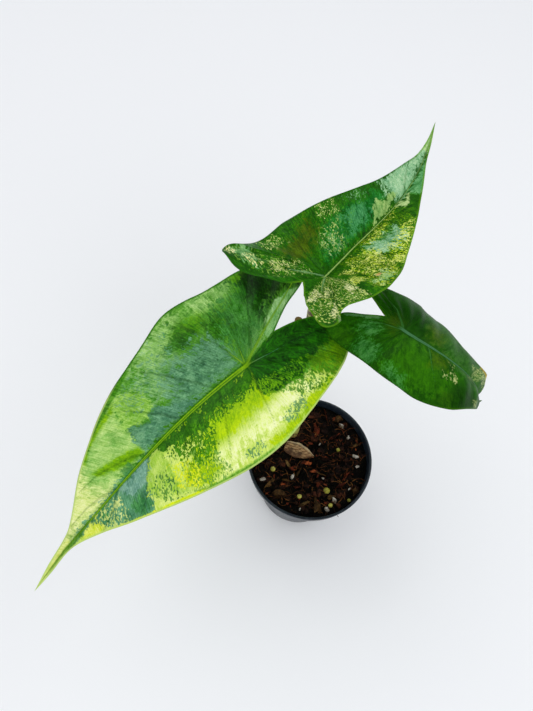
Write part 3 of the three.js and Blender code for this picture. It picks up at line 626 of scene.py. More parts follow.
topPatches = [
    wash("blueRun", "#1f5c24", "#3f8148", 7, 3, 0.9,
        [(-2, 6), (-12, 12), (-20, 28), (-22, 44), (-15, 62), (-10, 70), (-2, 62)]),
    # painted sheen: a smooth bluish reflection on the left half
    wash("smoothBlue", "#3f7c50", "#64a077", 7, 3, 0.7, [(-6, 36), (-17, 38), (-16, 54), (-7, 54)]),
    wash("leftDeep", "#215a08", "#2f6e12", 6, 2.5, 0.85,
        [(-14, 58), (-24, 52), (-30, 32), (-34, 10), (-34, -14), (-28, -14), (-28, 8), (-22, 30), (-18, 46)]),
    specks("leftFleck", "#3f7d2a", "#5f9448", 0.28, 8, 0.1, 0.7,
        [(-3, -2), (-3, 30), (-14, 46), (-26, 44), (-33, 20), (-34, -10), (-38, -32), (-24, -40), (-8, -18)],
        clump=0.35, shuffle=5.0),
    wash("oliveStain", "#3d4a08", "#4c600f", 7, 3, 0.8,
        [(-14, -10), (-23, -14), (-23, -4), (-24, 8), (-27, 22), (-20, 22), (-14, 8)]),
    specks("leftSpeck", "#a2be66", "#dfe8ac", 0.27, 6, 0.06, 0.85,
        [(-18, 24), (-29, 28), (-30, 36), (-26, 44), (-18, 40)],
        [(-3, 12), (-14, 14), (-20, 24), (-16, 34), (-4, 28)],
        [(-2, -6), (-12, -6), (-20, -10), (-24, -24), (-14, -28), (-6, -12)],
        [(-24, -2), (-33, -6), (-34, -20), (-26, -18)], clump=0.7, shuffle=9.0),
    specks("haloSpeck", "#5a9062", "#90b692", 0.25, 6, 0.08, 0.75,
        [(-3, 12), (-14, 14), (-18, 26), (-10, 34), (-3, 30)], [(-14, 62), (-22, 56), (-24, 46), (-16, 50)],
        clump=0.7, shuffle=13.0),
    specks("leftLobe", "#5a8c34", "#a8c478", 0.28, 5, 0.1, 0.9,
        [(-10, -16), (-20, -13), (-26, -22), (-32, -27), (-37, -32), (-40, -40), (-28, -42), (-16, -30)], clump=0.35,
        shuffle=3.0),
    wash("lobePane", "#70a470", "#94be90", 6, 2, 0.7, [(-24, -29), (-36, -29), (-38, -37), (-26, -37)]),
    specks("lobeCream", "#c8d87c", "#f0f0bc", 0.36, 3, 0.06, 0.95, [(-13, -16), (-19, -15), (-23, -27), (-17, -30)],
        [(-35, -36), (-40, -36), (-41, -42), (-35, -42)], [(-22, -28), (-32, -29), (-33, -37), (-24, -36)], clump=0.5),
    # pale green of the leaf's own, with painted whitish sheen over it
    wash("paleTop", "#7fb088", "#accfae", 6, 2, 0.95,
        [(0, 70), (-8, 70), (-16, 72), (-13, 82), (-9, 94), (-4, 108), (-2, 116), (0.6, 112)]),
    wash("paleRight", "#5a965f", "#82b488", 3, 1.5, 0.9, [(0, 76), (3, 78), (8, 80), (9, 84), (4, 98), (1, 104)]),
    # painted sheen: whitish grey flecks of reflected light
    specks("greyFrost", "#bcd6bc", "#a8c9a2", 0.4, 5, 0.12, 0.7,
        [(-2, 76), (-12, 74), (-9, 90), (-4, 106), (-1, 100)]),
    wash("rightMass", "#265f08", "#3f7c12", 8, 2, 0.95,
        [(0, 2), (8, 0), (16, 0), (30, 2), (33, 20), (29, 38), (20, 58), (14, 67), (6, 70), (0, 66)]),
    specks("rightLime", "#578a10", "#84b22a", 0.4, 7, 0.12, 0.9,
        [(1, 12), (8, 10), (18, 2), (31, 4), (32, 24), (26, 44), (16, 64), (6, 68), (1, 62)], shuffle=5.0),
    # painted sheen: a pale bluish haze of reflected light
    wash("blueHaze", "#8ab496", "#a8ccae", 6, 2.2, 0.92, [(6, 32), (14, 33), (19, 42), (17, 54), (9, 55), (9, 46)]),
    specks("hazeGreen", "#4c8a54", "#5c9562", 0.4, 5, 0.12, 0.8,
        [(2, 20), (10, 26), (12, 36), (18, 50), (8, 56), (6, 40)], shuffle=7.0),
    specks("creamMass", "#bcd64c", "#ecf0a4", 0.46, 7, 0.07, 0.95,
        [(1, 18), (6, 30), (12, 34), (20, 35), (29, 26), (31, 8), (26, 2), (18, 8), (8, 10)],
        [(0.5, 34), (6, 36), (8, 46), (5, 58), (1, 68)],
        [(15, 38), (24, 32), (28, 40), (21, 54), (14, 64), (12, 56)], clump=0.6, shuffle=11.0),
    specks("creamBright", "#cade66", "#ecf0a8", 0.62, 4, 0.06, 1, [(10, 19), (19, 21), (21, 32), (12, 31)],
        [(22, 24), (28, 34), (25, 44), (21, 36)], [(12, -3), (18, -5), (20, 7), (13, 6)],
        [(6, 2), (12, 6), (11, 12), (6, 9)], shuffle=3.0),
    specks("rightDark", "#154506", "#286014", 0.48, 8, 0.09, 0.92, [(0, 0), (8, 8), (16, 4), (24, 10), (30, 30),
         (18, 36), (8, 22), (4, 34), (6, 52), (14, 60), (8, 66), (0, 62)], clump=0.5, shuffle=7.0),
    wash("paneRight", "#8db884", "#a9c89a", 6, 1.4, 0.7, [(24, 6), (29, 8), (30, 16), (26, 18), (23, 12)]),
    wash("lobeGround", "#246208", "#3e7c16", 4, 2, 0.9,
        [(1, -3), (14, -3), (26, -7), (24, -40), (14, -45), (4, -34), (0, -20)]),
    specks("rightLobe", "#a0c452", "#ecf0b4", 0.44, 5, 0.06, 0.95,
        [(1, -1), (14, -1), (26, -6), (23, -18), (22, -28), (24, -40), (14, -43), (5, -32), (1, -20)], shuffle=3.0),
    specks("lobeCells", "#1a5006", "#327014", 0.46, 5, 0.07, 0.9,
        [(2, -3), (14, -3), (24, -8), (21, -28), (22, -40), (14, -42), (7, -32), (3, -20)], clump=0.35, shuffle=9.0),
    specks("rightLobePale", "#d2de8c", "#f4f2c8", 0.55, 3, 0.07, 0.95, [(2, -17), (7, -19), (8, -29), (4, -31)],
        [(16, -25), (20, -30), (22, -38), (18, -37)], [(13, -4), (18, -4), (20, -12), (14, -11)],
        [(6, -12), (10, -14), (12, -22), (8, -22)], clump=0.35),
    wash("creamArc", "#b4cf92", "#cadba8", 1.2, 0.6, 0.95,
        [(0.6, 67), (6, 69), (5.4, 73), (2.4, 77.4), (1.8, 76.4), (3.6, 73), (3.4, 71.4), (0.8, 70.6)]),
    wash("creamPane", "#74a062", "#a4be82", 2.2, 0.35, 0.98, [(-6.4, 72), (-3, 72), (-2.6, 66), (-1.2, 62),
         (-1.2, 50), (-5, 54), (-9, 58), (-10, 61), (-7, 62), (-5.4, 66)]),
    wash("pinkSpot", "#cf9270", "#c9a07c", 0.8, 0.7, 0.85, [(21.8, 11.6), (23.6, 12), (23.8, 14.6), (22.2, 14.4)]),
    wash("tipPale", "#9cc48a", "#bcd8a0", 1.5, 1.5, 0.9, [(-3, 108), (2, 108), (2, 140), (-3, 140)]),
]
rightBase = ("#1d5208", "#2c6a10")
rightPatches = [
    wash("brightRun", "#2f6e0e", "#3c7c14", 6, 3, 0.75,
        [(3, 2), (22, 0), (24, 20), (22, 34), (16, 40), (8, 26), (3, 14)]),
    wash("darkLeft", "#123f06", "#1a4c0a", 5, 4, 0.85,
        [(-2, 14), (-16, 14), (-20, 4), (-16, -10), (-8, -20), (-2, -8)]),
    wash("darkEnd", "#123c03", "#1b4a06", 4, 3, 0.9, [(11, 36), (24, 30), (26, 36), (20, 50), (12, 58), (8, 50)]),
    wash("greySheen", "#3f6a34", "#52784a", 6, 6, 0.7,
        [(-3, 16), (-12, 12), (-32, 8), (-32, 40), (-16, 62), (-2, 58), (4, 56), (3, 40)]),
    wash("oliveStain", "#4a5f1c", "#52651f", 4, 4, 0.55, [(-3, 14), (-15, 14), (-15, 24), (-4, 22)],
        [(2, 18), (8, 20), (7, 28), (2, 28)], [(-4, -3), (4, -4), (3, -9), (-4, -8)]),
    # painted sheen: bluish-green glints on the lobes
    wash("blueGlow", "#3f7e40", "#66a066", 5, 3.5, 0.72, [(5, -10), (12, -12), (12, -20), (6, -18)],
        [(15, -4), (24, -4), (24, -18), (15, -16)], [(19, 2), (25, 4), (26, 12), (21, 10)]),
    wash("olive", "#3a6d0e", "#447814", 3, 2, 0.3, [(16, 28), (22, 28), (22, 37), (17, 36)],
        [(16, -20), (24, -18), (24, -29), (17, -28)]),
    specks("creamFleck", "#8fa868", "#c0cb90", 0.46, 3.4, 0.07, 0.95, [(6, 31), (11, 31), (10, 37), (7, 36)],
        [(8, 26), (11.5, 27), (11.5, 31), (9, 30)], [(2, 29), (6, 30), (5, 33), (2, 33)],
        [(-3, 58), (-9, 52), (-13, 58), (-12, 68), (-8, 74), (-3, 68)], [(-1, 48), (-7, 45), (-9, 53), (-4, 57)],
        [(8, 58), (11, 52), (13, 57), (9, 62)]),
    specks("longFleck", "#7b9a60", "#98ae74", 0.42, 1.8, 0.08, 0.9,
        [(-7, 55), (-3, 50), (2, 42), (3, 46), (-1, 53), (-5, 57)],
        [(-16, 76), (-9, 70), (-8, 66), (-5, 60), (-3, 64), (-8, 76)]),
    wash("orangeEdge", "#c8a338", "#d8b858", 0.5, 0.5, 0.95, [(-10.6, 54), (-10.2, 66), (-14, 68), (-14, 54)]),
    wash("paleRoll", "#5d8a5c", "#76a070", 0.5, 0.45, 0.8,
        [(1, -13.4), (2.6, -13.6), (7, -22), (11.4, -29.6), (9.6, -30.6), (5, -23)]),
]


# how the layers of grain are stretched across and along the streaks, with their detail and roughness
grainShape = {
    "stir": 0.22, "stirReach": (3, 3, 0),
    "coarse": (0.5, 0.34, 1),
    "fine": (1.5, 1.0, 1),
    "cloud": (0.16, 0.09, 1), "cloudFineness": (4.0, 0.62),
    "mottle": (0.4, 0.26, 1), "mottleShift": (9, 4, 0), "mottleFineness": (5.0, 0.66),
    "lines": (1.7, 0.1, 1), "crossLines": (0.9, 1.4, 1), "lineFineness": (2.0, 0.6),
    "lineShare": 0.65, "crossShare": 0.35,
    "lineFade": (3.0, 30.0, 0.25, 1.0),     # from where to where outwards, and from how much to how much
}


def buildLeafGrain():
    # small cells and soft clouds that lie along the side ribs, as the veinlets do
    shape = grainShape
    desk, take, give = startGroup("leafGrain", "Streak:Vector Seed Grain", "Coarse Fine Cloud Mottle Veinlets")
    shift = desk.add("ShaderNodeCombineXYZ", {"X": take["Seed"], "Z": take["Seed"]}).outputs[0]
    spot = desk.vectors("ADD", take["Streak"], shift)
    moved = desk.vectors("SUBTRACT", desk.noise(spot, shape["stir"], outlet="Color"), (0.5, 0.5, 0.5))
    spot = desk.vectors("ADD", spot, desk.vectors("MULTIPLY", moved, shape["stirReach"]))
    mottled = desk.stretch(spot, shape["mottle"], shape["mottleShift"])
    # the lines crowd together where the streaks meet at the stalk, so they fade there
    lines = desk.noise(desk.stretch(take["Streak"], shape["lines"]), 1.0, *shape["lineFineness"])
    fade = desk.ease(desk.axis(take["Streak"], 1), *shape["lineFade"])
    lines = desk.timesPlus(desk.centred(lines), fade, 0.5)
    cross = desk.noise(desk.stretch(spot, shape["crossLines"]), 1.0, *shape["lineFineness"])
    desk.feedAll(give, {
        "Coarse": desk.cells(desk.stretch(spot, shape["coarse"]), take["Grain"]),
        "Fine": desk.cells(desk.stretch(spot, shape["fine"]), take["Grain"]),
        "Cloud": desk.noise(desk.stretch(spot, shape["cloud"]), 1.0, *shape["cloudFineness"]),
        "Mottle": desk.noise(mottled, 1.0, *shape["mottleFineness"]),
        "Veinlets": desk.timesPlus(lines, shape["lineShare"], desk.times(cross, shape["crossShare"]))})
    return desk.tree


wear = {"Fine": 0.5, "Coarse": 0.7, "Cloud": 2.0, "Mottle": 1.8}      # how much each layer moves a wash's edge
# what decides where a speck falls: the small cells, clumps of the large ones, and drifts by the clouds
crumble = {"fineShare": 0.92, "clumpShare": 0.3, "drift": 1.1, "lift": 0.04, "border": (0.02, 0.2)}


def buildRaggedPatch():
    # a patch's distance with its edge worn ragged along the cells
    desk, take, give = startGroup("raggedPatch", "Distance Coarse Fine Cloud Mottle Ragged Edge Strength", "Mask")
    wander = desk.times(desk.centred(take["Fine"]), wear["Fine"])
    for label in ("Coarse", "Cloud", "Mottle"):
        wander = desk.timesPlus(desk.centred(take[label]), wear[label], wander)
    reach = desk.timesPlus(wander, take["Ragged"], take["Distance"])
    mask = desk.ease(reach, desk.times(take["Edge"], -1.0), take["Edge"])
    desk.feed(give["Mask"], desk.times(mask, take["Strength"]))
    return desk.tree


def buildSpecks():
    # a patch that breaks up into specks, fewer towards its outline
    takes = "Distance Coarse Fine Cloud Soft Density Edge Strength Shuffle Clump"
    desk, take, give = startGroup("patchSpecks", takes, "Mask")
    near = desk.times(take["Soft"], 0.5)
    share = desk.ease(take["Distance"], desk.times(near, -1.0), near)
    fine, coarse = (desk.maths("FRACT", desk.times(take[label], take["Shuffle"])) for label in ("Fine", "Coarse"))
    dice = desk.times(fine, desk.timesPlus(take["Clump"], -crumble["clumpShare"], crumble["fineShare"]))
    dice = desk.timesPlus(coarse, desk.times(take["Clump"], crumble["clumpShare"]), dice)
    drift = desk.times(desk.centred(take["Cloud"]), desk.times(take["Clump"], crumble["drift"]))
    dice = desk.maths("ADD", desk.maths("ADD", dice, crumble["lift"]), drift)
    limit = desk.maths("SUBTRACT", 1.0, desk.times(share, take["Density"]))
    mask = desk.ease(desk.maths("SUBTRACT", dice, limit), desk.times(take["Edge"], -1.0), take["Edge"])
    mask = desk.times(mask, desk.ease(share, *crumble["border"]))
    desk.feed(give["Mask"], desk.times(mask, take["Strength"]))
    return desk.tree


leafGrain, raggedPatch, patchSpecks = buildLeafGrain(), buildRaggedPatch(), buildSpecks()
# the value for the front, the top and the right leaf
leafLooks = {
    "seed": (2.0, 17.0, 31.0), "grain": (1.0, 1.6, 1.5), "vivid": (1.1, 1.18, 1.15), "value": (1.0, 0.95, 0.8),
    "mottle": (0.72, 0.62, 0.5), "specular": (0.16, 0.14, 0.08), "roughness": (0.34, 0.28, 0.3),
    "coat": (0.05, 0.05, 0.03), "coatRoughness": (0.3, 0.22, 0.2), "bump": (0.62, 0.5, 0.35),
    "ribShade": (0.5, 0.42, 0.3), "ribTint": ("#8fa888", "#8fa888", "#90a888"), "ribPaleness": (0.75, 0.6, 0.65),
    "ribPale": ("#7fae3e", "#8bb382", "#4d7f48"), "ribPaleLeft": ("#4d8060", "#8bb382", "#4d7f48"),
    "midribWidth": (0.95, 0.4, 0.9), "midribEnd": (150.0, 96.0, 58.0), "midribShift": (0.25, -0.25, 0.0),
    "midribStrength": (0.9, 0.85, 0.8), "midribColour": ("#86b436", "#a9c87c", "#5d8c66"),
    # the midrib's dark tone is painted shade beside the midrib and in its groove
    "midribGroove": (0.75, 0.0, 0.4), "midribEdge": (0.75, 0.9, 0.4), "midribPaintedShade": ("#215c12", "#174f10", "#143f0b"),
    "veinletTone": (0.46, 0.4, 0.2), "edgeStrength": (0.85, 0.55, 0.5),
    "edgeColour": ("#c2d884", "#709c40", "#4f7c2a"), "edgeDark": ("#3a7420", "#2c6418", "#2c5c18"),
    "darkSide": (1.0, -1.0, 1.0), "darkFrom": (-16.0, 2.0, 2.0), "darkUntil": (66.0, 110.0, 40.0),
}
# the same for all three; a pair is where a mask starts and where it is full
leafFinish = {
    "ior": 1.45,
    "toneShares": (0.15, 0.2, 0.35, 0.3),       # of coarse and fine cells, cloud and mottle
    "toneRange": (0.25, 0.75),
    "mottleShare": 0.55, "mottleRange": (0.34, 0.66), "mottleTones": ("#7f8a86", "#e4e4cc"),
    "ribShadeEdge": (1.1, 0.25), "paleRibEdge": (1.3, 0.6), "paleSide": (-4.0, 1.0),
    "midribFrom": -10.0, "midribTipWidth": 0.12, "midribStart": (-5.0, 1.5), "grooveStart": (1.0, 9.0),
    "midribEdgeLine": (2.5, 1.3), "midribLine": (1.25, 0.7), "grooveLine": (0.42, 0.14),    # in widths of the midrib
    "veinletRange": (0.36, 0.64), "veinletTones": ("#5f5f5f", "#ffffff"),
    "marginEdge": (1.15, 0.5), "darkFadeAcross": 6.0, "darkFadeAlong": 16.0,
    "roughShares": (0.05, 0.16), "coatRange": (0.3, 0.7, 0.6, 1.0),
    "pores": (1400.0, 2.0, 0.6), "bumpShares": (0.18, 0.7, 0.04),       # of pores, veinlets and fine cells
}


def leafMaterial(name, look, base, patches):
    finish = leafFinish
    fixed = {"IOR": finish["ior"], "Specular IOR Level": look["specular"], "Coat Roughness": look["coatRoughness"]}
    material, desk, shader = startMaterial(name, **fixed)
    given = {"Streak": desk.read("streak", "Vector"), "Seed": look["seed"], "Grain": look["grain"]}
    grain = desk.place(leafGrain, given)
    cells = {label: grain[label] for label in ("Coarse", "Fine", "Cloud")}
    fine, cloud, mottle = grain["Fine"], grain["Cloud"], grain["Mottle"]
    shares = finish["toneShares"]
    tone = desk.timesPlus(fine, shares[1], desk.times(grain["Coarse"], shares[0]))
    tone = desk.timesPlus(mottle, shares[3], desk.timesPlus(cloud, shares[2], tone))
    tone = desk.ease(tone, *finish["toneRange"])
    colour = desk.blend(tone, *base)
    for patch in patches:
        given = {"Distance": desk.read(patch["name"]), **cells, **patch["look"]}
        if "Density" in given:
            mask = desk.place(patchSpecks, given)["Mask"]
        else:
            mask = desk.place(raggedPatch, {**given, "Mottle": mottle})["Mask"]
        colour = desk.blend(mask, colour, desk.blend(tone, *patch["colours"]))

    def lay(strength, over, mode="MIX"):
        nonlocal colour
        colour = desk.blend(strength, colour, over, mode)

    clouds = desk.timesPlus(mottle, finish["mottleShare"], desk.times(cloud, 1 - finish["mottleShare"]))
    clouds = desk.ease(clouds, *finish["mottleRange"])
    lay(look["mottle"], desk.blend(clouds, *finish["mottleTones"]), "SOFT_LIGHT")
    across = desk.read("midribDistance")
    along = desk.axis(desk.read("flat", "Vector"), 1)
    shade = desk.ease(desk.read("ribDistance"), *finish["ribShadeEdge"])
    lay(desk.times(shade, look["ribShade"]), look["ribTint"], "MULTIPLY")
    palest = desk.blend(desk.ease(across, *finish["paleSide"]), look["ribPaleLeft"], look["ribPale"])
    lay(desk.times(desk.ease(desk.read("paleRib"), *finish["paleRibEdge"]), look["ribPaleness"]), palest)

    # the midrib: painted shade along its outer edges and down the groove in its middle, with a pale ridge between
    off = desk.maths("ABSOLUTE", desk.maths("ADD", across, look["midribShift"]))
    width = desk.ease(along, look["midribEnd"], finish["midribFrom"], finish["midribTipWidth"], look["midribWidth"])
    share = desk.maths("DIVIDE", off, width)
    ridge, groove = desk.ease(along, *finish["midribStart"]), desk.ease(along, *finish["grooveStart"])
    for begun, line, strength, tint in ((ridge, "midribEdgeLine", "midribEdge", "midribPaintedShade"),
                                        (ridge, "midribLine", "midribStrength", "midribColour"),
                                        (groove, "grooveLine", "midribGroove", "midribPaintedShade")):
        mask = desk.times(begun, desk.ease(share, *finish[line]))
        lay(desk.times(mask, look[strength]), look[tint])

    veinlets = desk.ease(grain["Veinlets"], *finish["veinletRange"])
    lay(look["veinletTone"], desk.blend(veinlets, *finish["veinletTones"]), "SOFT_LIGHT")
    start, end = look["darkFrom"], look["darkUntil"]
    fromSide = desk.ease(desk.times(across, look["darkSide"]), start, start + finish["darkFadeAcross"])
    darkSide = desk.times(fromSide, desk.ease(along, end, end - finish["darkFadeAlong"]))
    edge = desk.blend(darkSide, look["edgeColour"], look["edgeDark"])
    lay(desk.times(desk.ease(desk.read("marginDistance"), *finish["marginEdge"]), look["edgeStrength"]), edge)
    vivid = {"Saturation": look["vivid"], "Value": look["value"], "Color": colour}

    shares = finish["roughShares"]
    rough = desk.timesPlus(cloud, shares[1], desk.timesPlus(fine, shares[0], look["roughness"]))
    shares = finish["bumpShares"]
    pores = desk.noise(desk.objectPlace(), *finish["pores"])
    height = desk.timesPlus(grain["Veinlets"], shares[1], desk.times(pores, shares[0]))
    height = desk.timesPlus(desk.ease(fine, 0.0, 1.0), shares[2], height)
    desk.feedAll(shader, {
        "Base Color": desk.add("ShaderNodeHueSaturation", vivid).outputs[0],
        "Roughness": rough,
        "Coat Weight": desk.times(desk.ease(cloud, *finish["coatRange"]), look["coat"]),
        "Normal": desk.bump(height, look["bump"])})
    return material


# masks: from where to where, and from how much to how much
leafBackLook = {
    "roughness": 0.55, "seed": 5.0, "grain": 0.8, "tones": ("#5f8a50", "#8db272"), "bump": 0.4,
    "fleckRange": (0.55, 0.8), "fleckStrength": 0.3, "fleck": "#b4cc8a",
    "ribMask": (1.5, 0.4, 0.0, 0.75), "rib": "#b9c9a4",
    "midribMask": (2.6, 1.2, 0.0, 0.85), "midrib": "#b7bf8c",
}


def leafBackMaterial():
    # the paler, duller underside with its pale ribs
    look = leafBackLook
    material, desk, shader = startMaterial("leafBack", **{"Roughness": look["roughness"], "IOR": leafFinish["ior"]})
    given = {"Streak": desk.read("streak", "Vector"), "Seed": look["seed"], "Grain": look["grain"]}
    grain = desk.place(leafGrain, given)
    colour = desk.blend(grain["Cloud"], *look["tones"])
    flecks = desk.times(desk.ease(grain["Coarse"], *look["fleckRange"]), look["fleckStrength"])
    colour = desk.blend(flecks, colour, look["fleck"])
    colour = desk.blend(desk.ease(desk.read("ribDistance"), *look["ribMask"]), colour, look["rib"])
    off = desk.maths("ABSOLUTE", desk.read("midribDistance"))
    colour = desk.blend(desk.ease(off, *look["midribMask"]), colour, look["midrib"])
    desk.feedAll(shader, {"Base Color": colour, "Normal": desk.bump(grain["Veinlets"], look["bump"])})
    return material


stalkShape = {
    "sides": 28,
    "rings": 150,
    "under": 2.5,       # how far below the blade's midrib the path ends
    "shoulder": 2.4,
    "shoulderPinch": 0.7,
    "flare": 0.1,       # thicker at the foot
    "flareFrom": 96,
    "flareFull": 74,
    "steps": 40,        # from knot to knot
    # the path's knots and the radii along it
    "stalkFront": ([(-21.5, 11.5, 67), (-21.5, 11.5, 76), (-25, 11, 112), (-34, 8, 160), (-45, 2, 200)],
                   [4, 4, 3.6, 3, 2.6, 2.9]),
    "stalkTop": ([(-16.5, 25.2, 67), (-16.5, 25.2, 76), (-16, 31, 120), (-18, 40, 170), (-20, 44.5, 205)],
                 [3.7, 3.7, 3.4, 2.9, 2.6, 2.8]),
    "stalkRight": ([(-14, 17.5, 67), (-14, 17.5, 76), (-10.5, 25.5, 120), (-5, 31.5, 165), (6, 33, 200)],
                   [3.5, 3.5, 3.2, 2.7, 2.4, 2.6]),
    "oldStalk": ([(-24, 20.2, 67), (-24, 20.2, 76), (-25, 31, 120), (-27, 42, 165), (-26, 46, 188.5)],
                 [3, 3, 2.8, 2.6, 2.3]),
}


def centripetal(knots, steps):
    # a smooth curve through the knots, evenly stepped, with the place along the knots of each step
    knots = [np.array(k, dtype=float) for k in knots]
    ends = [2 * knots[0] - knots[1]] + knots + [2 * knots[-1] - knots[-2]]
    dense, shares = [], []
    for i in range(len(knots) - 1):
        a, b, c, d = ends[i:i + 4]
        before, here, after = (max(np.linalg.norm(q - p) ** 0.5, 1e-4) for p, q in ((a, b), (b, c), (c, d)))
        ins = ((b - a) / before - (c - a) / (before + here) + (c - b) / here) * here
        outs = ((c - b) / here - (d - b) / (here + after) + (d - c) / after) * here
        for f in np.linspace(0, 1, stalkShape["steps"], endpoint=False):
            h = b * (2 * f ** 3 - 3 * f ** 2 + 1) + c * (3 * f ** 2 - 2 * f ** 3)
            dense.append(h + ins * (f ** 3 - 2 * f ** 2 + f) + outs * (f ** 3 - f ** 2))
            shares.append((i + f) / (len(knots) - 1))
    dense = np.array(dense + [knots[-1]])
    run = np.concatenate([[0], np.cumsum(np.linalg.norm(np.diff(dense, axis=0), axis=1))])
    even = np.linspace(0, run[-1], steps + 1)
    return np.stack([np.interp(even, run, dense[:, c]) for c in range(3)], 1), np.interp(even, run, shares + [1.0])


def finishTree(desk, geometry, skin, outlet):
    real = desk.add("GeometryNodeRealizeInstances", {"Geometry": geometry}).outputs[0]
    desk.feed(outlet, desk.add("GeometryNodeSetMaterial", {"Geometry": real, "Material": skin}).outputs[0])
    return desk.tree


def buildStalkTree():
    # a curve with radii becomes a closed tube
    takes = "Curve:Geometry Sides:Int Skin:Material"
    desk, take, give = startGroup("stalkTube", takes, "Stalk:Geometry", "GeometryNodeTree")
    circle = desk.add("GeometryNodeCurvePrimitiveCircle", {"Radius": 1.0, "Resolution": take["Sides"]})
    radius = desk.add("GeometryNodeInputRadius").outputs["Radius"]
    given = {"Curve": take["Curve"], "Profile Curve": circle.outputs["Curve"], "Scale": radius, "Fill Caps": True}
    tube = desk.add("GeometryNodeCurveToMesh", given).outputs["Mesh"]
    smooth = desk.add("GeometryNodeSetShadeSmooth", {"Geometry": tube}).outputs[0]
    return finishTree(desk, smooth, take["Skin"], give["Stalk"])


def stalkPiece(name, skin, tree, leaf):
    route, radii = stalkShape[name]
    if leaf:
        point, up = frameAt(midribFrames(leaf), np.array([0.0]), "point", "up")
        route = route + [point[0] - up[0] * stalkShape["under"]]
    path, shares = centripetal(route, stalkShape["rings"])
    size = np.interp(shares, np.linspace(0, 1, len(radii)), radii)
    height = path[:, 2]
    wobble = 1 + 0.018 * np.sin(height * 0.21 + len(name)) + 0.012 * np.sin(height * 0.57)
    foot = smoothBetween(stalkShape["flareFrom"], stalkShape["flareFull"], height)
    size = size * wobble * (1 + stalkShape["flare"] * foot)
    if leaf:
        # a rounded shoulder where the stalk passes into the blade
        toEnd = np.linalg.norm(path - path[-1], axis=1)
        pinch = stalkShape["shoulderPinch"] * (1 - np.minimum(toEnd / stalkShape["shoulder"], 1)) ** 2
        size = size * np.sqrt(1 - pinch)
    curve = bpy.data.curves.new(name, "CURVE")
    curve.dimensions = "3D"
    spline = curve.splines.new("POLY")
    spline.points.add(len(path) - 1)
    for place, p, r in zip(spline.points, path * mm, size * mm):
        place.co, place.radius = (*p, 1), r
    return closeUp(growTree(stand(name, curve), tree, {"Sides": stalkShape["sides"], "Skin": skin}))


potShape = {
    "sides": 192,
    "profile": [
        (9, 0), (9.4, 0.1), (10.2, 1.2), (24.8, 1.2), (25.7, 0.15), (26, 0), (29.2, 0), (29.7, 0.12), (30, 0.6),
        (34.63, 30.6), (40.75, 69.7), (40.95, 70.6), (41.4, 71.05), (42.5, 71.15), (42.95, 71.35), (43.2, 71.9),
        (43.75, 77.6), (44.0, 78.9), (44.0, 79.5), (43.85, 79.85), (43.5, 80), (42.7, 80), (42.35, 79.85),
        (42.2, 79.4), (42.05, 73.2), (41.8, 72.5), (39.6, 71.2), (39.35, 70.6), (28.9, 2.9), (28.3, 2.6)],
    "drainHoles": 6,
    "drainRadius": 3.2,
    "drainCircle": 18,
    "sharpFrom": 32,    # degrees
}


def makePot(material):
    profile, sides = potShape["profile"], potShape["sides"]
    turns = [2 * math.pi * k / sides for k in range(sides)]
    points = [(r * math.cos(angle), r * math.sin(angle), z) for r, z in profile for angle in turns]
    top = (len(profile) - 1) * sides
    faces = []
    for first in range(0, top, sides):
        for k in range(sides):
            a, b = first + k, first + (k + 1) % sides
            faces.append((a, b, b + sides, a + sides))
    for first, z in ((0, profile[0][1]), (top, profile[-1][1])):
        for k in range(sides):
            a, b = first + k, first + (k + 1) % sides
            faces.append((len(points), a, b) if first else (len(points), b, a))
        points.append((0, 0, z))
    pot = closeUp(meshPiece("nurseryPot", points, faces, [material]))
    cutters = []
    for i in range(potShape["drainHoles"]):
        angle = 2 * math.pi * i / potShape["drainHoles"]
        place = Vector((math.cos(angle), math.sin(angle), 0)) * potShape["drainCircle"] * mm
        radius = potShape["drainRadius"] * mm
        work = bmesh.new()
        bmesh.ops.create_cone(work, cap_ends=True, segments=32, radius1=radius, radius2=radius, depth=10 * mm,
                              matrix=Matrix.Translation(place + Vector((0, 0, 2 * mm))))
        cutters.append(stand("drainCutter", meshFrom(work, "drainCutter")))
        hole = pot.modifiers.new("drainHole", "BOOLEAN")
        hole.operation, hole.solver, hole.object = "DIFFERENCE", "EXACT", cutters[-1]
    baked = bakePiece(pot)
    for cutter in cutters:
        bpy.data.objects.remove(cutter)
    setSmooth(baked.data)
    baked.data.set_sharp_from_angle(angle=math.radians(potShape["sharpFrom"]))
    return baked


mixShape = {
    "level": 74,
    "rim": 41.55,
    "below": [(41.5, 73.0), (38.8, 71.6), (28.2, 2.9)],     # the outline under the rim
    "rings": 64,
    "sides": 220,
    "swells": 0.55,         # how high the top rises and falls
    "sunk": 0.45,
    "grain": 0.9,
    "grainScale": 0.42,
    "rimFrom": 39,          # it falls away to the pot's wall
    "rimFall": 0.36,
    "reach": 39.5,          # how far out, and above what height, lumps are strewn
    "lowest": 72.4,
}
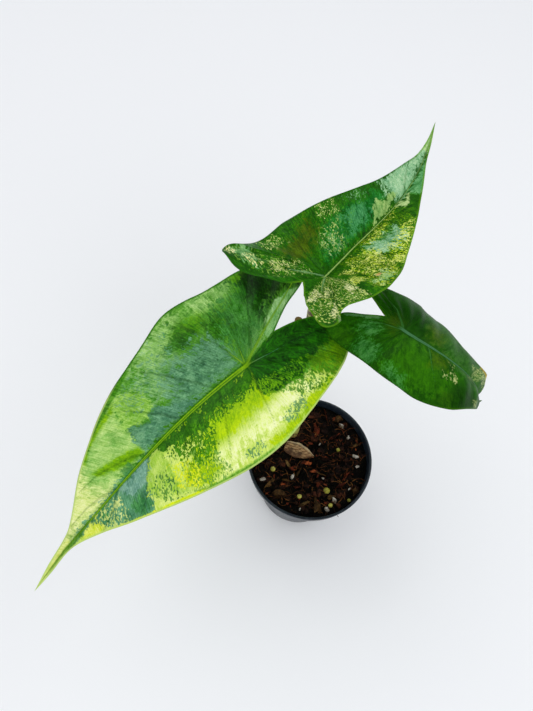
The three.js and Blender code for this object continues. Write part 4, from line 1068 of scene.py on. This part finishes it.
# what is strewn over the mix: how densely, how large, how far it sinks in, the sizes of its shapes and their seeds
heaps = {
    "barkChips": {"Density": 34000.0, "Seed": 4, "Small": 0.5, "Large": 1.35, "Sink": 0.1, "bend": 0.0,
                  "shapes": {1: (4.6, 3.0, 2.2), 2: (6.2, 2.6, 1.6), 3: (3.4, 2.8, 2.4)}, "skin": "barkBrown"},
    "soilCrumbs": {"Density": 120000.0, "Seed": 9, "Small": 0.5, "Large": 1.5, "Sink": 0.0, "bend": 0.0,
                   "shapes": {5: (1.6, 1.3, 1.1), 6: (2.2, 1.5, 1.2), 7: (1.2, 1.0, 1.0)}, "skin": "soilDark"},
    "coirFibres": {"Density": 60000.0, "Seed": 15, "Small": 0.45, "Large": 1.4, "Sink": -0.5, "bend": 1.3,
                   "shapes": {11: (0.42, 0.42, 9.0), 12: (0.34, 0.34, 6.5), 13: (0.5, 0.5, 5.0)}, "skin": "coirBrown"},
    "barkFlakes": {"Density": 12000.0, "Seed": 21, "Small": 0.3, "Large": 1.3, "Sink": -0.4, "bend": 0.0,
                   "shapes": {17: (4.2, 1.5, 0.6), 18: (2.6, 1.8, 0.7), 19: (3.2, 1.0, 0.5)}, "skin": "flakeRed"},
}
# what lies at given places: x, y and radius of each
laid = {
    "perlite": {"skin": "perliteWhite", "seed": 3, "roughness": 0.28, "cuts": 3, "spots": [
        (20.7, 28.6, 2.0), (32.8, 7.4, 2.1), (34.8, -0.1, 1.2), (-10, -14.7, 1.5), (-30.2, -19.9, 2.0),
        (20.8, -26.7, 1.8), (16.1, -33.7, 1.7), (-2.2, -36.4, 1.0), (30.5, -17, 0.9), (11.5, -12.2, 0.8),
        (26.5, 20.5, 1.3), (-19.5, -28, 1.1), (6.5, 12.0, 0.9)]},
    "redBark": {"skin": "flakeRed", "seed": 8, "roughness": 0.8, "cuts": 2, "spots": [
        (8.7, 34.6, 2.6), (2.7, 21.5, 2.6), (15.5, 18.2, 2.8), (-1.8, -3.4, 2.2), (27.3, -8.2, 2.6), (4.5, -8.5, 1.9),
        (12.5, 2.8, 2.2), (22.5, 1.5, 1.8), (9.5, -16.5, 1.7), (-6, -21.5, 1.9), (24, -15.5, 2.2)]},
    "tanBark": {"skin": "barkTan", "seed": 12, "roughness": 0.8, "cuts": 2, "spots": [
        (9.0, -32.1, 3.2), (0.5, -32.2, 2.6), (-13.9, -18.4, 3.0), (-24.9, -21.9, 2.8), (9.3, -9.8, 2.2),
        (34.5, -17.6, 2.0), (-17.1, -27.9, 2.6), (-14.5, -6.5, 2.2), (18.0, 33.0, 2.4), (31.5, 15.0, 2.2),
        (-6.0, -10.5, 2.4), (19.0, -24.5, 2.0)]},
    "feedBeads": {"skin": "beadSkin", "seed": 5, "roughness": 0.03, "cuts": 3, "spots": [
        (14.8, -20.7, 2.3), (20, 9.8, 1.5), (-3.6, -27.7, 1.6), (-24.3, -11.5, 1.8), (18.4, -30.6, 1.6),
        (31, -25, 1.3)]},
}


def mixHeight(x, y):
    bumps = np.sin(x * 0.42 + 1.3) * np.cos(y * 0.38 - 0.4) + 0.7 * np.sin(x * 0.21 - y * 0.48 + 2.1)
    bumps = bumps + 0.4 * np.cos(x * 0.6 + y * 0.3)
    calm = smoothBetween(11, 18, np.hypot(x + 6.25, y - 4.8))       # flat where the sheath lies
    return float(mixShape["level"] + mixShape["swells"] * bumps * calm)


def makeMixGround(material):
    sides, rings, below = mixShape["sides"], mixShape["rings"], mixShape["below"]
    total = rings + len(below)
    points, faces = [(0.0, 0.0, mixHeight(0.0, 0.0))], []
    for i in range(1, total + 1):
        for k in range(sides):
            angle = 2 * math.pi * (k + 0.5 * (i % 2) * (i <= rings)) / sides
            r, z = (mixShape["rim"] * i / rings, None) if i <= rings else below[i - rings - 1]
            x, y = r * math.cos(angle), r * math.sin(angle)
            if z is None:
                grain = noise.fractal(Vector((x, y, 3)) * mixShape["grainScale"], 0.9, 2.2, 4) * mixShape["grain"]
                fall = mixShape["rimFall"] * max(0, r - mixShape["rimFrom"])
                z = mixHeight(x, y) - mixShape["sunk"] + grain * (1 if i < rings else 0.2) - fall
            points.append((x, y, z))
    points.append((0, 0, below[-1][1]))
    start = [1 + (i - 1) * sides for i in range(total + 1)]
    for k in range(sides):
        after = (k + 1) % sides
        faces.append((0, start[1] + k, start[1] + after))
        for a, b in zip(start[1:-1], start[2:]):
            faces.append((a + k, b + k, b + after, a + after))
        faces.append((len(points) - 1, start[total] + after, start[total] + k))
    return closeUp(meshPiece("pottingMix", points, faces, [material]))


crumb = {"radius": 0.6, "jitter": 0.17, "fibreJitter": 0.4, "fibreEnds": (0.5, 0.35), "fibreCuts": 4}


def crumbShape(name, size, seed, bend):
    # a small broken lump or flake with few faces, or a bent fibre
    dice = random.Random(seed)
    work = bmesh.new()
    if bend:
        low, high = crumb["fibreEnds"]
        bmesh.ops.create_cone(work, cap_ends=True, segments=5, radius1=low, radius2=high, depth=1.0)
        long = [e for e in work.edges if abs(e.verts[0].co.z - e.verts[1].co.z) > 0.5]
        bmesh.ops.subdivide_edges(work, edges=long, cuts=crumb["fibreCuts"])
    else:
        bmesh.ops.create_icosphere(work, subdivisions=1, radius=crumb["radius"])
    for vert in work.verts:
        jitter = Vector([dice.uniform(-crumb["jitter"], crumb["jitter"]) for _ in range(3)])
        vert.co = vert.co + jitter * (crumb["fibreJitter"] if bend else 1.0)
        vert.co = Vector([c * s for c, s in zip(vert.co, size)])
        if bend:
            along = vert.co.z / size[2] * 2
            vert.co.x += bend * (along * along - 0.4)
            vert.co = Vector((vert.co.z, vert.co.x, vert.co.y))
    mesh = meshFrom(work, name)
    mesh.transform(Matrix.Scale(mm, 4))
    return bpy.data.objects.new(name, mesh)


def buildScatterTree():
    # lumps spread over the top of the mix, each turned and sized at random
    takes = "Ground:Geometry Density Seed:Int Small Large Sink Shapes:Collection Skin:Material Reach"
    desk, take, give = startGroup("scatterOverMix", takes, "Lumps:Geometry", "GeometryNodeTree")
    x, y, z = desk.add("ShaderNodeSeparateXYZ", {0: desk.add("GeometryNodeInputPosition").outputs[0]}).outputs
    flat = desk.add("ShaderNodeCombineXYZ", {"X": x, "Y": y}).outputs[0]
    radius = desk.add("ShaderNodeVectorMath", {0: flat}, operation="LENGTH").outputs["Value"]
    near = desk.maths("LESS_THAN", radius, take["Reach"])
    high = desk.maths("GREATER_THAN", z, mixShape["lowest"] * mm)
    both = desk.add("FunctionNodeBooleanMath", {0: near, 1: high}, operation="AND").outputs[0]
    seed = {"Seed": take["Seed"]}
    given = {"Mesh": take["Ground"], "Selection": both, "Density": take["Density"], **seed}
    spread = desk.add("GeometryNodeDistributePointsOnFaces", given).outputs["Points"]
    given = {"Min": (-0.5, -0.5, 0), "Max": (0.5, 0.5, 2 * math.pi), **seed}
    turn = desk.add("FunctionNodeRandomValue", given, data_type="FLOAT_VECTOR").outputs[0]
    given = {2: take["Small"], 3: take["Large"], **seed}        # the sockets of plain numbers
    size = desk.add("FunctionNodeRandomValue", given, data_type="FLOAT").outputs[1]
    given = {"Collection": take["Shapes"], "Separate Children": True, "Reset Children": True}
    shapes = desk.add("GeometryNodeCollectionInfo", given).outputs[0]
    given = {"Points": spread, "Instance": shapes, "Pick Instance": True, "Rotation": turn, "Scale": size}
    put = desk.add("GeometryNodeInstanceOnPoints", given).outputs["Instances"]
    down = desk.add("ShaderNodeCombineXYZ", {"Z": desk.times(take["Sink"], -mm)}).outputs[0]
    given = {"Instances": put, "Translation": down, "Local Space": False}
    drop = desk.add("GeometryNodeTranslateInstances", given).outputs["Instances"]
    return finishTree(desk, drop, take["Skin"], give["Lumps"])


def scatterPiece(name, heap, ground, tree, skin):
    shapes = [crumbShape(name + str(seed), size, seed, heap["bend"]) for seed, size in heap["shapes"].items()]
    holder = bpy.data.collections.new(name + "Shapes")
    for shape in shapes:
        holder.objects.link(shape)
    given = {**heap, "Shapes": holder, "Skin": skin, "Reach": mixShape["reach"] * mm}
    baked = growTree(stand(name, ground.data.copy()), tree, given)
    setSmooth(baked.data, False)
    for shape in shapes:
        bpy.data.objects.remove(shape)
    bpy.data.collections.remove(holder)
    return baked


lumpShape = {"raised": 0.22, "dents": 1.4, "flatness": 0.85}


def placedLumps(name, lumps, skin):
    dice = random.Random(lumps["seed"])
    roughness = lumps["roughness"]
    work = bmesh.new()
    for x, y, radius in lumps["spots"]:
        middle = Vector((x, y, mixHeight(x, y) + lumpShape["raised"] * radius))
        made = bmesh.ops.create_icosphere(work, subdivisions=lumps["cuts"], radius=radius,
                                          matrix=Matrix.Translation(middle))
        shift = Vector([dice.uniform(0, 50) for _ in range(3)])
        squash = 1 - 2 * roughness * dice.random()
        for vert in made["verts"]:
            away = vert.co - middle
            away *= 1 + roughness * noise.noise(away * (lumpShape["dents"] / radius) + shift) * 2
            low = lumpShape["flatness"] + (1 - lumpShape["flatness"]) * squash
            away = Vector((away.x * (1 + roughness * 0.5), away.y * squash, away.z * low))
            away.rotate(Matrix.Rotation(shift.x, 3, "Z"))
            vert.co = middle + away
    mesh = meshFrom(work, name)
    mesh.transform(Matrix.Scale(mm, 4))
    mesh.materials.append(skin)
    setSmooth(mesh)
    return stand(name, mesh)


sheathShape = {
    "from": (-18, 6.8), "to": (3, 1.8), "width": 11, "arch": 1.7, "thickness": 0.45, "lift": 0.45,
    "steps": 60, "columns": 24,
    "endBluntness": 0.9, "edgeCurl": 0.9, "sway": 0.5,
    "pleats": ((0.3, 15, 2), (0.18, 29, 5)),        # height, how many, and how they slant
}


def makeDrySheath(material):
    shape = sheathShape
    start, along = np.array(shape["from"]), np.array(shape["to"]) - np.array(shape["from"])
    side = np.array([-along[1], along[0]]) / np.hypot(*along)
    share = np.linspace(0, 1, shape["steps"] + 1)[:, None]
    c = np.linspace(-1, 1, shape["columns"] + 1)[None, :]
    half = (shape["width"] / 2) * np.sin(np.pi * (0.2 + 0.78 * share)) ** shape["endBluntness"]
    half = half * (1 + 0.04 * np.sin(share * 19))
    pleats = sum(size * np.sin(c * count + slant * share) for size, count, slant in shape["pleats"])
    curlUp = shape["edgeCurl"] * np.abs(c) ** 3 * (0.4 + 0.6 * share)
    z = mixShape["level"] + shape["lift"] + shape["arch"] * (1 - c * c) * (1 - 0.6 * share)
    z = z + pleats * (1 - share * 0.5) + curlUp
    flat = start + along * share[..., None] + side * (c * half)[..., None]
    flat = flat + side * (shape["sway"] * np.sin(share * 6))[..., None] * (1 - np.abs(c))[..., None]
    high, wide = z.shape
    total = high * wide
    points = [(*flat[i, j], z[i, j] + lift) for lift in (shape["thickness"], 0)
              for i in range(high) for j in range(wide)]
    faces = []
    for i in range(high - 1):
        for j in range(wide - 1):
            a = i * wide + j
            b, d, e = a + 1, a + wide + 1, a + wide
            faces += [(a, b, d, e), (a + total, e + total, d + total, b + total)]
    rim = list(range(wide)) + [i * wide + wide - 1 for i in range(1, high)]
    rim += [total - wide + j for j in range(wide - 2, -1, -1)] + [i * wide for i in range(high - 2, 0, -1)]
    faces += [(a, a + total, b + total, b) for a, b in zip(rim, rim[1:] + rim[:1])]
    sheath = closeUp(meshPiece("drySheath", points, faces, [material]))
    storeNumbers(sheath, "across", np.tile(c.ravel(), 2 * high))
    return sheath


grime = {"patches": (1.0, 5.0, 0.65), "specks": (9.0, 3.0, 0.7), "speckShare": 0.45, "range": (0.42, 0.68)}


def buildGrimeGroup():
    # soft dust and fine scuffs, as a mask
    desk, take, give = startGroup("dustAndScuffs", "Place:Vector Size Amount", "Dust")
    spot = desk.vectors("SCALE", take["Place"], take["Size"])
    big, small = desk.noise(spot, *grime["patches"]), desk.noise(spot, *grime["specks"])
    both = desk.timesPlus(small, grime["speckShare"], desk.times(big, 1 - grime["speckShare"]))
    desk.feed(give["Dust"], desk.times(desk.ease(both, *grime["range"]), take["Amount"]))
    return desk.tree


# stretches and sizes of noise are per metre, the foot's mask is by height in metres
stalkFinish = {
    "roughness": 0.42, "ior": 1.45, "clouds": 90.0,
    "bands": (85, 85, 430), "bandFineness": (3.0, 0.55), "bandEdge": (0.5, 0.55),
    "zigzag": (320, 320, 240), "zigzagReach": 1.9,
    "footMask": (0.086, 0.072, 0.0, 0.8), "foot": "#7a5a34",
    "ridges": (1400, 1400, 60), "bandDip": -0.2, "bump": 0.16,
}
stalkLooks = {
    "stalkSkin": {"ground": ("#b9b45c", "#93a552"), "band": ("#4a2f17", "#6b4a25"), "amount": 0.92},
    "oldStalkSkin": {"ground": ("#9a7a3c", "#7d6a34"), "band": ("#4a3018", "#5c3c20"), "amount": 0.6},
}


def stalkMaterial(name, look):
    # broken crosswise bands that zigzag round the stalk, and a brown foot
    finish = stalkFinish
    material, desk, shader = startMaterial(name, **{"Roughness": finish["roughness"], "IOR": finish["ior"]})
    place = desk.objectPlace()
    bend = desk.noise(desk.stretch(place, finish["zigzag"]), outlet="Color")
    bend = desk.vectors("SCALE", bend, finish["zigzagReach"])
    bars = desk.vectors("ADD", desk.stretch(place, finish["bands"]), bend)
    bars = desk.noise(bars, 1.0, *finish["bandFineness"])
    mask = desk.times(desk.ease(bars, *finish["bandEdge"]), look["amount"])
    cloud = desk.noise(place, finish["clouds"], 3.0)
    colour = desk.blend(mask, desk.blend(cloud, *look["ground"]), desk.blend(cloud, *look["band"]))
    colour = desk.blend(desk.ease(desk.axis(place, 2), *finish["footMask"]), colour, finish["foot"])
    ridges = desk.noise(desk.stretch(place, finish["ridges"]))
    height = desk.timesPlus(mask, finish["bandDip"], ridges)
    desk.feedAll(shader, {"Base Color": colour, "Normal": desk.bump(height, finish["bump"])})
    return material


potLook = {
    "ior": 1.5, "specular": 0.5, "plastic": ("#17212c", "#293645"),
    "dust": "#4a4640", "dustSize": 60.0, "dustAmount": 1.0, "dustStrength": 0.25,
    "roughness": 0.34, "dustRoughness": 0.22, "pores": 2600.0, "bump": 0.03,
}


def plasticMaterial():
    look = potLook
    fixed = {"IOR": look["ior"], "Specular IOR Level": look["specular"]}
    material, desk, shader = startMaterial("potPlastic", **fixed)
    place = desk.objectPlace()
    given = {"Place": place, "Size": look["dustSize"], "Amount": look["dustAmount"]}
    dust = desk.place(dustAndScuffs, given)["Dust"]
    strength = desk.times(dust, look["dustStrength"])
    colour = desk.blend(strength, desk.blend(dust, *look["plastic"]), look["dust"])
    desk.feedAll(shader, {
        "Base Color": colour,
        "Roughness": desk.timesPlus(dust, look["dustRoughness"], look["roughness"]),
        "Normal": desk.bump(desk.noise(place, look["pores"]), look["bump"])})
    return material


lumpFinish = {
    "ior": 1.4, "specular": 0.3,
    "cloudScale": 0.16, "cloudRange": (0.36, 0.64),         # sizes as shares of the grain's
    "paleScale": 0.12, "paleShift": (7, 3, 1), "paleRange": (0.56, 0.66),
    "grainStrength": 0.5, "grainRange": (0.35, 0.65), "grainTones": ("#3c3c3c", "#d0d0d0"),
}
# two tones, roughness, size of the grain, height of the grain in millimetres, and a paler tone for some
lumpLooks = {
    "soilDark": ("#040201", "#0f0904", 0.85, 900.0, 0.5),
    "barkBrown": ("#0a0504", "#2c160c", 0.8, 700.0, 0.4, "#4a2412"),
    "coirBrown": ("#2a1609", "#6a3c1a", 0.8, 900.0, 0.2, "#8a5a2c"),
    "flakeRed": ("#1e0a05", "#6a2a10", 0.75, 800.0, 0.3, "#a8542a"),
    "perliteWhite": ("#90887b", "#c8c2b6", 0.9, 1300.0, 0.5, "#6e604e"),
    "beadSkin": ("#8e8a30", "#b9b45a", 0.35, 500.0, 0.05),
    "barkTan": ("#2c1c0c", "#5e421e", 0.8, 600.0, 0.5, "#7e6236"),
    "cormBark": ("#3a2616", "#5e4128", 0.8, 500.0, 0.4),
}


def lumpMaterial(name, low, high, roughness, scale, bump, pale=None):
    finish = lumpFinish
    fixed = {"Roughness": roughness, "IOR": finish["ior"], "Specular IOR Level": finish["specular"]}
    material, desk, shader = startMaterial(name, **fixed)
    place = desk.objectPlace()
    cloud = desk.ease(desk.noise(place, scale * finish["cloudScale"], 3.0, 0.6), *finish["cloudRange"])
    fine = desk.noise(place, scale, 3.0, 0.65)
    colour = desk.blend(cloud, low, high)
    if pale:
        spots = desk.noise(desk.stretch(place, (1, 1, 1), finish["paleShift"]), scale * finish["paleScale"])
        colour = desk.blend(desk.ease(spots, *finish["paleRange"]), colour, pale)
    grain = desk.blend(desk.ease(fine, *finish["grainRange"]), *finish["grainTones"])
    colour = desk.blend(finish["grainStrength"], colour, grain, "OVERLAY")
    desk.feedAll(shader, {"Base Color": colour, "Normal": desk.bump(fine, bump)})
    return material


# a stain, painted light along one edge and painted shade along the other: from where to where, from how much to how
# much, and the colour
sheathLook = {
    "roughness": 0.62, "ior": 1.4, "bump": 0.3,
    "threads": (300, 1500, 400), "threadRange": (0.35, 0.65), "tones": ("#6a4526", "#b8966a"),
    "clouds": 260.0, "fineness": (3.0, 0.6), "stain": (0.44, 0.62, 0.0, 0.85, "#3a2212"),
    # painted light along one edge and painted shade along the other
    "paintedLightEdge": (0.55, 0.95, 0.0, 0.7, "#cdb892"), "darkEdge": (-0.4, -0.95, 0.0, 0.7, "#4a2c18"),
}


def sheathMaterial():
    look = sheathLook
    material, desk, shader = startMaterial("sheathTan", **{"Roughness": look["roughness"], "IOR": look["ior"]})
    place = desk.objectPlace()
    threads = desk.noise(desk.stretch(place, look["threads"]), 1.0, *look["fineness"])
    colour = desk.blend(desk.ease(threads, *look["threadRange"]), *look["tones"])
    cloud = desk.noise(place, look["clouds"], *look["fineness"])
    across = desk.read("across")
    # a real stain, then painted light along one edge and painted shade along the other
    for value, key in ((cloud, "stain"), (across, "paintedLightEdge"), (across, "darkEdge")):
        *mask, tint = look[key]
        colour = desk.blend(desk.ease(value, *mask), colour, tint)
    desk.feedAll(shader, {"Base Color": colour, "Normal": desk.bump(threads, look["bump"])})
    return material


dustAndScuffs = buildGrimeGroup()
skins = {name: lumpMaterial(name, *look) for name, look in lumpLooks.items()}
skins.update({name: stalkMaterial(name, look) for name, look in stalkLooks.items()})
skins.update({"leafBack": leafBackMaterial(), "potPlastic": plasticMaterial(), "sheathTan": sheathMaterial()})
print("finishes mixed:", len(skins))

# each leaf's own shape, base colours, patches and solid
leaves = (("leafFront", frontLeaf, frontBase, frontPatches, "blade_front"),
          ("leafTop", topLeaf, topBase, topPatches, "blade_top"),
          ("leafRight", rightLeaf, rightBase, rightPatches, "blade_right"))
for number, (name, leaf, base, patches, node) in enumerate(leaves):
    look = {key: values[number] for key, values in leafLooks.items()}
    outlines = {patch["name"]: patch["outlines"] for patch in patches}
    blade = bladeMesh(name, leaf, outlines, [leafMaterial(name + "Face", look, base, patches), skins["leafBack"]])
    finishPiece(blade, node, node)
    print("blade", name, "with", len(outlines), "patches and", len(blade.data.polygons), "faces")

stalkTree = buildStalkTree()
for name, skin, leaf, slotName, node in (("stalkFront", "stalkSkin", frontLeaf, "stalks", "petiole_front"),
                                         ("stalkTop", "stalkSkin", topLeaf, "stalks", "petiole_top"),
                                         ("stalkRight", "stalkSkin", rightLeaf, "stalks", "petiole_right"),
                                         ("oldStalk", "oldStalkSkin", None, "old_stalk", "old_stalk")):
    finishPiece(stalkPiece(name, skins[skin], stalkTree, leaf), slotName, node)
print("stalks laid")

finishPiece(makePot(skins["potPlastic"]), "pot", "pot")
print("pot turned")

mixGround = makeMixGround(skins["soilDark"])
finishPiece(mixGround, "potting_mix", "potting_mix")
scatterTree = buildScatterTree()
for name, heap in heaps.items():
    piece = scatterPiece(name, heap, mixGround, scatterTree, skins[heap["skin"]])
    finishPiece(piece, "potting_mix")
    print("scattered", name, len(piece.data.polygons), "faces")
for name, lumps in laid.items():
    finishPiece(placedLumps(name, lumps, skins[lumps["skin"]]), "potting_mix")
finishPiece(makeDrySheath(skins["sheathTan"]), "dry_sheath", "dry_sheath")
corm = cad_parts["corm"]
corm.data.materials.clear()
corm.data.materials.append(skins["cormBark"])
print("potting mix laid")

studio = {
    "cameraPlace": (-0.0413, -0.1385, 0.5131),
    "cameraRight": (0.9877, 0.1406, 0.0686),
    "cameraUp": (-0.1564, 0.8877, 0.4330),
    "cameraBack": (0.0, -0.4384, 0.8988),
    "lens": 32.405,
    "sensor": 36,
    "nearest": 0.01,
    "floorSize": 4.0,
    "floorDrop": 0.0002,
    "floorFinish": ("#f4f5f7", 0.85),
    "airColour": (0.95, 0.97, 1, 1),
    "airDiffuse": 0.65,
    "airMirrored": 0.07,
    # place, aim, size, power, colour, and whether it is mirrored
    "lamps": {
        "windowLeft": ((-0.65, 0.38, 1.61), (-0.03, 0.02, 0.2), 1.25, 6.5, (1, 0.99, 0.98), True),
        "windowRight": ((0.92, 0.47, 1.43), (0.02, 0.03, 0.2), 0.9, 2.5, (0.96, 0.98, 1), True),
        "bounceFront": ((0.9, -1.3, 1.5), (0.1, -0.15, 0.0), 1.8, 14, (1, 1, 1), False),
    },
}


def makeFloor():
    size = studio["floorSize"]
    mesh = bpy.data.meshes.new("floor")
    mesh.from_pydata([(-size, -size, 0), (size, -size, 0), (size, size, 0), (-size, size, 0)], [], [(0, 1, 2, 3)])
    colour, roughness = studio["floorFinish"]
    mesh.materials.append(startMaterial("floorPale", **{"Base Color": paint(colour), "Roughness": roughness})[0])
    floor = stand("floor", mesh)
    floor.location.z = -studio["floorDrop"]


def areaLight(name, place, aim, size, power, colour, mirrored):
    lamp = bpy.data.lights.new(name, "AREA")
    lamp.shape, lamp.size, lamp.size_y = "RECTANGLE", size, size
    lamp.energy, lamp.color = power, colour
    light = stand(name, lamp)
    light.location = place
    light.visible_glossy = mirrored
    light.rotation_euler = (Vector(aim) - Vector(place)).to_track_quat("-Z", "Y").to_euler()


def makeWorld():
    # bright all round, but little of it is mirrored, as under a dark ceiling
    world = bpy.data.worlds.new("studioAir")
    world.use_nodes = True
    desk = NodeDesk(world.node_tree)
    air = world.node_tree.nodes["Background"].inputs
    air["Color"].default_value = studio["airColour"]
    mirrored = desk.add("ShaderNodeLightPath").outputs["Is Glossy Ray"]
    desk.feed(air["Strength"], desk.ease(mirrored, 0.0, 1.0, studio["airDiffuse"], studio["airMirrored"]))
    bpy.context.scene.world = world


def makeCamera():
    data = bpy.data.cameras.new("photoView")
    data.sensor_width, data.lens, data.clip_start = studio["sensor"], studio["lens"], studio["nearest"]
    camera = stand("photoView", data)
    turn = Matrix([studio[key] for key in ("cameraRight", "cameraUp", "cameraBack")]).transposed().to_4x4()
    camera.matrix_world = Matrix.Translation(studio["cameraPlace"]) @ turn
    bpy.context.scene.camera = camera


makeFloor()
for name, values in studio["lamps"].items():
    areaLight(name, *values)
makeWorld()
makeCamera()
bpy.context.scene.view_settings.view_transform = "Standard"
print("studio lit")
